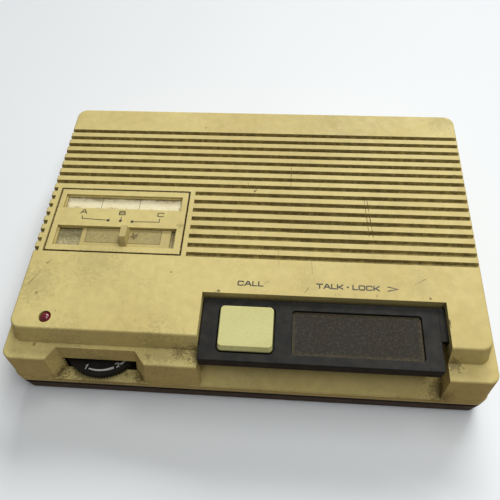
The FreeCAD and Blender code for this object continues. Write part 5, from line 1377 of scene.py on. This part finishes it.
@dataclass
class ChannelSelector:
    """The bezel with its name card, and the slide with its knob."""

    effects: Effects
    top: float = 36.0 * MM
    letter_height: float = 1.8 * MM
    pen: float = 0.42 * MM
    letters: tuple[tuple[str, float, float], ...] = (
        ("A", -74.3, -1.0), ("B", -57.4, -1.2), ("C", -40.7, -1.5)
    )
    letter_width: float = 2.5 * MM
    dot: float = 0.66 * MM
    lead_pen: float = 0.85
    leads: tuple[tuple[Point, ...], ...] = (
        ((-73.3, -2.5), (-73.1, -3.75), (-61.6, -4.3)),
        ((-56.15, -2.5), (-56.3, -4.35)),
        ((-39.55, -2.7), (-39.6, -4.4), (-51.2, -4.6)),
    )
    rules: tuple[float, ...] = (-66.9 * MM, -50.1 * MM)
    window: tuple[Point, Point] = ((-82.9 * MM, 1.8 * MM), (-31.2 * MM, 9.1 * MM))

    def dress(self, casing: bpy.types.Material, steel: bpy.types.Material) -> None:
        """Builds the selector's finishes and puts them on.

        Args:
            casing: the casing's plastic.
            steel: the screws' steel.
        """
        wear(casing, "channel_bezel")
        sheet = ClearSheet(
            "window_acrylic", srgb(226, 221, 202), srgb(252, 250, 240), roughness=0.12, haze=0.04
        )
        wear(sheet.build(self.effects), "label_window")
        low, high = spans("label_card")
        card = LabelCard(
            "name_card", srgb(255, 253, 244), srgb(242, 230, 190), roughness=0.7, drift=0.4, patch=0.005,
            low=self.window[0], high=self.window[1], rules=self.rules, amount=0.04,
        )
        LOG.info("card %s to %s", low, high)
        wear(card.build(self.effects), "label_card")
        guide = Dusty(
            "slot_backing", srgb(192, 182, 136), srgb(160, 149, 104), roughness=0.8, dust=0.2, film=0.0,
            amount=0.6, lint=0.7,
            mottle=srgb(80, 68, 38), pale=srgb(214, 208, 168),
            low=(-1.0, -1.0), high=(-33.4 * MM, 1.0),
            # A dark patch in the deep gap at the slot's right end: painted shadow.
            patches=(RaggedPatch((-30.9, -12.3, 31.0), 3.2, 0.8, 0.2, 0.9),),
        )
        wear(guide.build(self.effects), "slide_guide")
        slide = Dusty(
            "slide_plastic", srgb(198, 181, 118), srgb(176, 158, 98), roughness=0.6, dust=0.1, shine=0.3,
            film=0.2, amount=0.35,
            low=(-69.9 * MM, -14.7 * MM), high=(-38.0 * MM, 1.0), below=34.8 * MM,
            # A dark patch right of the knob: dust and the knob's painted shadow.
            patches=(RaggedPatch((-49.4, -11.2, 34.7), 2.4, 0.8, 0.3, 0.9),),
        )
        wear(slide.build(self.effects), "channel_slide")
        wear(steel, "switch_screws")

    def marks(self, ink: bpy.types.Material) -> None:
        """Prints the channel letters and the lines from them to the knob's places.

        Args:
            ink: the ink.
        """
        made = Marks("channel_marks")
        for letter, x, y in self.letters:
            made.text(
                letter, [self.letter_width], 0.0, self.letter_height, self.pen,
                flat(x * MM, y * MM, self.top)
            )
        flat_top = flat(0.0, 0.0, self.top)
        for lead in self.leads:
            path = [(x * MM, y * MM) for x, y in lead]
            made.stroke(path, self.pen * self.lead_pen, flat_top)
            made.dot(path[-1], self.dot, flat_top)
        made.finish(Body.CASE, Slot.INK, ink)


@dataclass
class IndicatorLamp:
    """The red lamp and its leads."""

    effects: Effects

    def dress(self, tin: bpy.types.Material) -> None:
        """Builds the lens's finish and puts it on.

        Args:
            tin: the leads' metal.
        """
        lamp = Lamp("lamp_lens", srgb(112, 12, 26), srgb(70, 8, 16), roughness=0.16, drift=0.6, patch=0.002)
        wear(lamp.build(self.effects), "led_lens")
        wear(tin, "led_leads")


@dataclass
class VolumeDial:
    """The toothed wheel with its numbers, its shaft and control."""

    effects: Effects
    centre: Point = (-58.2 * MM, -49.425 * MM)
    face: float = 17.25 * MM
    radius: float = 13.85 * MM
    band: float = 14.1 * MM
    first: float = -110.6
    step: float = 53.6
    height: float = 1.8 * MM
    pen: float = 0.4 * MM
    numbers: int = 5
    digit_width: float = 1.25 * MM
    digit_left: float = 0.62 * MM
    band_turns: tuple[int, int, int] = (6, 46, 3)
    band_start: float = 0.55
    band_growth: float = 0.2
    band_flare: float = 0.35

    def dress(
        self, black: bpy.types.Material, steel: bpy.types.Material, brass: bpy.types.Material
    ) -> None:
        """Puts the finishes on the CAD nodes.

        Args:
            black: the control's plastic.
            steel: the screw's steel.
            brass: the shaft's metal.
        """
        rim = Moulded(
            "wheel_plastic", srgb(14, 14, 12), srgb(20, 18, 15), roughness=0.6, dust=0.03, scuff=0.06,
            shine=0.2
        )
        wear(rim.build(self.effects), "volume_wheel")
        wear(steel, "wheel_screw")
        wear(brass, "volume_shaft")
        wear(black, "volume_pot")

    def spot(self, radius: float, angle: float) -> Point:
        """Returns the point at a radius and an angle, in radians, about the wheel's centre."""
        return self.centre[0] + radius * math.cos(angle), self.centre[1] + radius * math.sin(angle)

    def marks(self, paint: bpy.types.Material) -> None:
        """Prints the numbers 1 to 5 round the wheel and the growing bands between them.

        Args:
            paint: the white paint.
        """
        made = Marks("wheel_numbers")
        for i in range(self.numbers):
            angle = math.radians(self.first + i * self.step)
            foot = Matrix.Translation((-self.digit_left, -self.height / 2, 0.0))
            place = flat(*self.spot(self.radius, angle), self.face, angle + math.pi / 2) @ foot
            made.text(str(i + 1), [self.digit_width], 0.0, self.height, self.pen, place)
            if i == self.numbers - 1:
                break
            angles = [math.radians(self.first + i * self.step + d) for d in range(*self.band_turns)]
            path = [self.spot(self.band, a) for a in angles]
            start, last = self.band_start + self.band_growth * i, len(path) - 1
            widths = [(start + self.band_flare * k / last) * MM for k in range(len(path))]
            made.stroke(path, widths, flat(0.0, 0.0, self.face))
        made.finish(Body.WHEEL, Slot.PAINT, paint)


@dataclass
class TalkKey:
    """The long bar with its pinned insert and the call key, and what is under them."""

    effects: Effects

    def dress(self, shared: dict[str, bpy.types.Material]) -> None:
        """Builds the keys' finishes and puts them on.

        Args:
            shared: finishes that other sub-assemblies wear too.
        """
        bar = Moulded(
            "bar_plastic", srgb(30, 30, 29), srgb(24, 24, 22), roughness=0.55, drift=0.7, grain=0.0006,
            depth=0.000012,
            dust=0.05, scuff=0.3, scuff_colour=srgb(96, 96, 90), shine=0.15,
        )
        wear(bar.build(self.effects), "talk_bar")
        low, high = (17.75 * MM, -59.1 * MM), (66.15 * MM, -41.3 * MM)
        insert = PinPad(
            "pinned_insert", srgb(50, 48, 42), srgb(52, 45, 33), roughness=0.6, low=low, high=high,
            shine=0.2
        )
        wear(insert.build(self.effects), "talk_insert")
        # The key's lower sides are painted dark as shadow in the gap round it, and its forward faces get
        # painted shade.
        key = Skirted(
            "ivory_plastic", srgb(206, 201, 136), srgb(193, 186, 120), roughness=0.45, drift=0.5,
            patch=0.012, depth=0.000004,
            dust=0.05, scuff=0.15, scuff_colour=srgb(150, 140, 90), shine=0.3, skirt_full=33.1 * MM,
            skirt_none=33.6 * MM,
            front_shade_amount=0.2,
        )
        wear(key.build(self.effects), "call_button")
        wear(shared["black"], "talk_carriage", "talk_switch", "call_switch")
        wear(shared["board"], "call_board")
        wear(
            shared["steel"], "talk_switch_screws", "call_board_screws", "talk_springs", "call_spring",
            "carriage_clips"
        )


@dataclass
class Works:
    """The board and its parts, the speaker and the cord inlet."""

    effects: Effects

    def dress(self, shared: dict[str, bpy.types.Material]) -> None:
        """Builds the inner parts' finishes and puts them on.

        Args:
            shared: finishes that other sub-assemblies wear too.
        """
        wear(shared["board"], "main_board", "channel_board")
        wear(
            shared["steel"], "board_screws", "transformer_screws", "speaker_screws", "speaker_clamps",
            "transformer_strap"
        )
        wear(shared["tin"], "tuning_cans", "channel_switch")
        wear(shared["brass"], "channel_wiper", "speaker_terminal")
        wear(shared["black"], "amplifier_chip", "transistors", "inlet_bush", "inlet_nut")
        finishes = (
            (
                Moulded("resistor_body", srgb(190, 160, 116), srgb(168, 134, 92), roughness=0.45),
                ("resistors",)
            ),
            (
                Moulded("capacitor_sleeve", srgb(40, 66, 110), srgb(30, 50, 86), roughness=0.3),
                ("capacitors",)
            ),
            (
                Metal("core_laminations", srgb(110, 108, 104), srgb(92, 84, 74), roughness=0.5, spread=0.7),
                ("transformer_core",)
            ),
            (
                Cloth(
                    "coil_tape", srgb(196, 168, 84), srgb(176, 146, 70), roughness=0.6,
                    thread=srgb(150, 120, 58)
                ),
                ("transformer_coil",)
            ),
            (
                Cloth("speaker_cloth", srgb(30, 29, 27), srgb(42, 39, 33), roughness=0.85),
                ("speaker_cloth",)
            ),
            (
                Paper(
                    "gasket_felt", srgb(74, 70, 64), srgb(60, 56, 50), roughness=0.9, fleck=srgb(96, 92, 84)
                ),
                ("speaker_gasket",)
            ),
            (
                Paper(
                    "cone_paper", srgb(70, 66, 60), srgb(56, 52, 46), roughness=0.85, fleck=srgb(92, 86, 76)
                ),
                ("speaker_cone", "speaker_dust_cap")
            ),
            (
                Metal("speaker_steel", srgb(168, 166, 158), srgb(150, 146, 134), roughness=0.4),
                ("speaker_frame",)
            ),
            (
                Moulded("magnet_ferrite", srgb(62, 62, 64), srgb(52, 52, 52), roughness=0.6, grain=0.0008),
                ("speaker_magnet",)
            ),
            (
                Moulded("lead_skin", srgb(150, 40, 36), srgb(120, 34, 30), roughness=0.45),
                ("speaker_leads",)
            ),
        )
        for finish, nodes in finishes:
            wear(finish.build(self.effects), *nodes)


# --- studio -------------------------------------------------------------------------------


@dataclass
class Studio:
    """A pale floor, soft lamps and the camera."""

    floor_half: float = 3.0
    floor_parts: int = 8
    floor_tone: Rgb = srgb(244, 247, 248)
    floor_lit: Rgb = srgb(172, 151, 132)
    lamps_hung: tuple[tuple[str, Spot, Point, float], ...] = (
        ("top_softbox", (0.16, 0.0, 0.55), (0.5, 0.22), 1.66),
        ("rear_softbox", (0.70, 2.60, 2.00), (2.2, 1.0), 82.0),
    )
    world_colour: Rgb = (0.93, 0.95, 0.97)
    world_level: float = 0.16
    world_shine: float = 0.34
    world_seen: float = 0.9
    eye: tuple[float, float, float] = (0.014827, -0.130227, 0.218918)
    right: tuple[float, float, float] = (0.99684254, 0.06909882, -0.03911918)
    up: tuple[float, float, float] = (-0.03792882, 0.84718874, 0.52993645)
    back: tuple[float, float, float] = (0.06975931, -0.52677945, 0.84713461)
    lens: float = 38.36
    sensor: float = 36.0
    clip: tuple[float, float] = (0.01, 20.0)

    def floor(self, effects: Effects) -> None:
        """Lays the floor.

        Args:
            effects: the shared node groups.
        """
        mesh = bmesh.new()
        bmesh.ops.create_grid(
            mesh, x_segments=self.floor_parts, y_segments=self.floor_parts, size=self.floor_half
        )
        data = bpy.data.meshes.new("studio_floor")
        mesh.to_mesh(data)
        mesh.free()
        paper = FloorPaper("floor_paper", self.floor_tone, self.floor_lit, roughness=0.8)
        data.materials.append(paper.build(effects))
        made = bpy.data.objects.new("studio_floor", data)
        bpy.context.scene.collection.objects.link(made)

    def lamps(self) -> None:
        """Hangs the soft lamps above and behind, and sets the world."""
        for name, place, size, power in self.lamps_hung:
            data = bpy.data.lights.new(name, "AREA")
            data.shape, data.size, data.size_y, data.energy = "RECTANGLE", *size, power
            lamp = bpy.data.objects.new(name, data)
            lamp.location = place
            lamp.rotation_mode = "QUATERNION"
            lamp.rotation_quaternion = Vector(place).to_track_quat("Z", "Y")
            bpy.context.scene.collection.objects.link(lamp)
        world = bpy.data.worlds.new("studio")
        world.use_nodes = True
        graph = Graph(world.node_tree)
        path = graph.node("ShaderNodeLightPath").outputs
        levels = ((path["Is Glossy Ray"], self.world_shine), (path["Is Camera Ray"], self.world_seen))
        strength = self.world_level
        for seen, level in levels:
            more = graph.math("SUBTRACT", level, strength)
            strength = graph.math("MULTIPLY_ADD", seen, more, strength)
        ground = world.node_tree.nodes["Background"]
        graph.feed(ground.inputs["Color"], self.world_colour)
        graph.feed(ground.inputs["Strength"], strength)
        bpy.context.scene.world = world
        bpy.context.scene.view_settings.view_transform = "Standard"

    def camera(self) -> None:
        """Places the camera at the photograph's viewpoint."""
        data = bpy.data.cameras.new("camera")
        data.lens, data.sensor_width = self.lens, self.sensor
        data.clip_start, data.clip_end = self.clip
        made = bpy.data.objects.new("camera", data)
        rows = [(self.right[i], self.up[i], self.back[i], self.eye[i]) for i in range(3)]
        made.matrix_world = Matrix((*rows, (0.0, 0.0, 0.0, 1.0)))
        bpy.context.scene.collection.objects.link(made)
        bpy.context.scene.camera = made


def shared_materials(effects: Effects) -> dict[str, bpy.types.Material]:
    """Builds the finishes that several sub-assemblies wear.

    Args:
        effects: the shared node groups.

    Returns:
        The materials by name.
    """
    finishes = {
        "black": Moulded("black_plastic", srgb(36, 35, 34), srgb(46, 44, 40), roughness=0.5),
        "tin": Metal("tin_plate", srgb(192, 190, 182), srgb(176, 172, 160), roughness=0.32),
        "brass": Metal("brass", srgb(186, 156, 92), srgb(160, 128, 70), roughness=0.35),
        "board": Board("circuit_board", srgb(112, 84, 42), srgb(96, 70, 36), roughness=0.45),
        "ink": Print("dark_ink", srgb(30, 28, 24), srgb(84, 74, 48), roughness=0.5, worn=0.2),
        "paint": Print("white_paint", srgb(206, 206, 200), srgb(150, 148, 138), roughness=0.5),
    }
    return {name: finish.build(effects) for name, finish in finishes.items()}


def main() -> None:
    """Builds and dresses each sub-assembly, then the studio."""
    logging.basicConfig(level=logging.INFO, format="%(name)s: %(message)s")
    effects = Effects()
    shared = shared_materials(effects)
    housing = Housing(effects)
    own = housing.materials()
    shared["steel"] = own["steel"]
    housing.dress(own)
    housing.words(shared["ink"])
    selector = ChannelSelector(effects)
    selector.dress(own["casing"], own["steel"])
    selector.marks(shared["ink"])
    IndicatorLamp(effects).dress(shared["tin"])
    dial = VolumeDial(effects)
    dial.dress(shared["black"], shared["steel"], shared["brass"])
    dial.marks(shared["paint"])
    TalkKey(effects).dress(shared)
    Works(effects).dress(shared)
    studio = Studio()
    studio.floor(effects)
    studio.lamps()
    studio.camera()


if __name__ == "__main__":
    main()
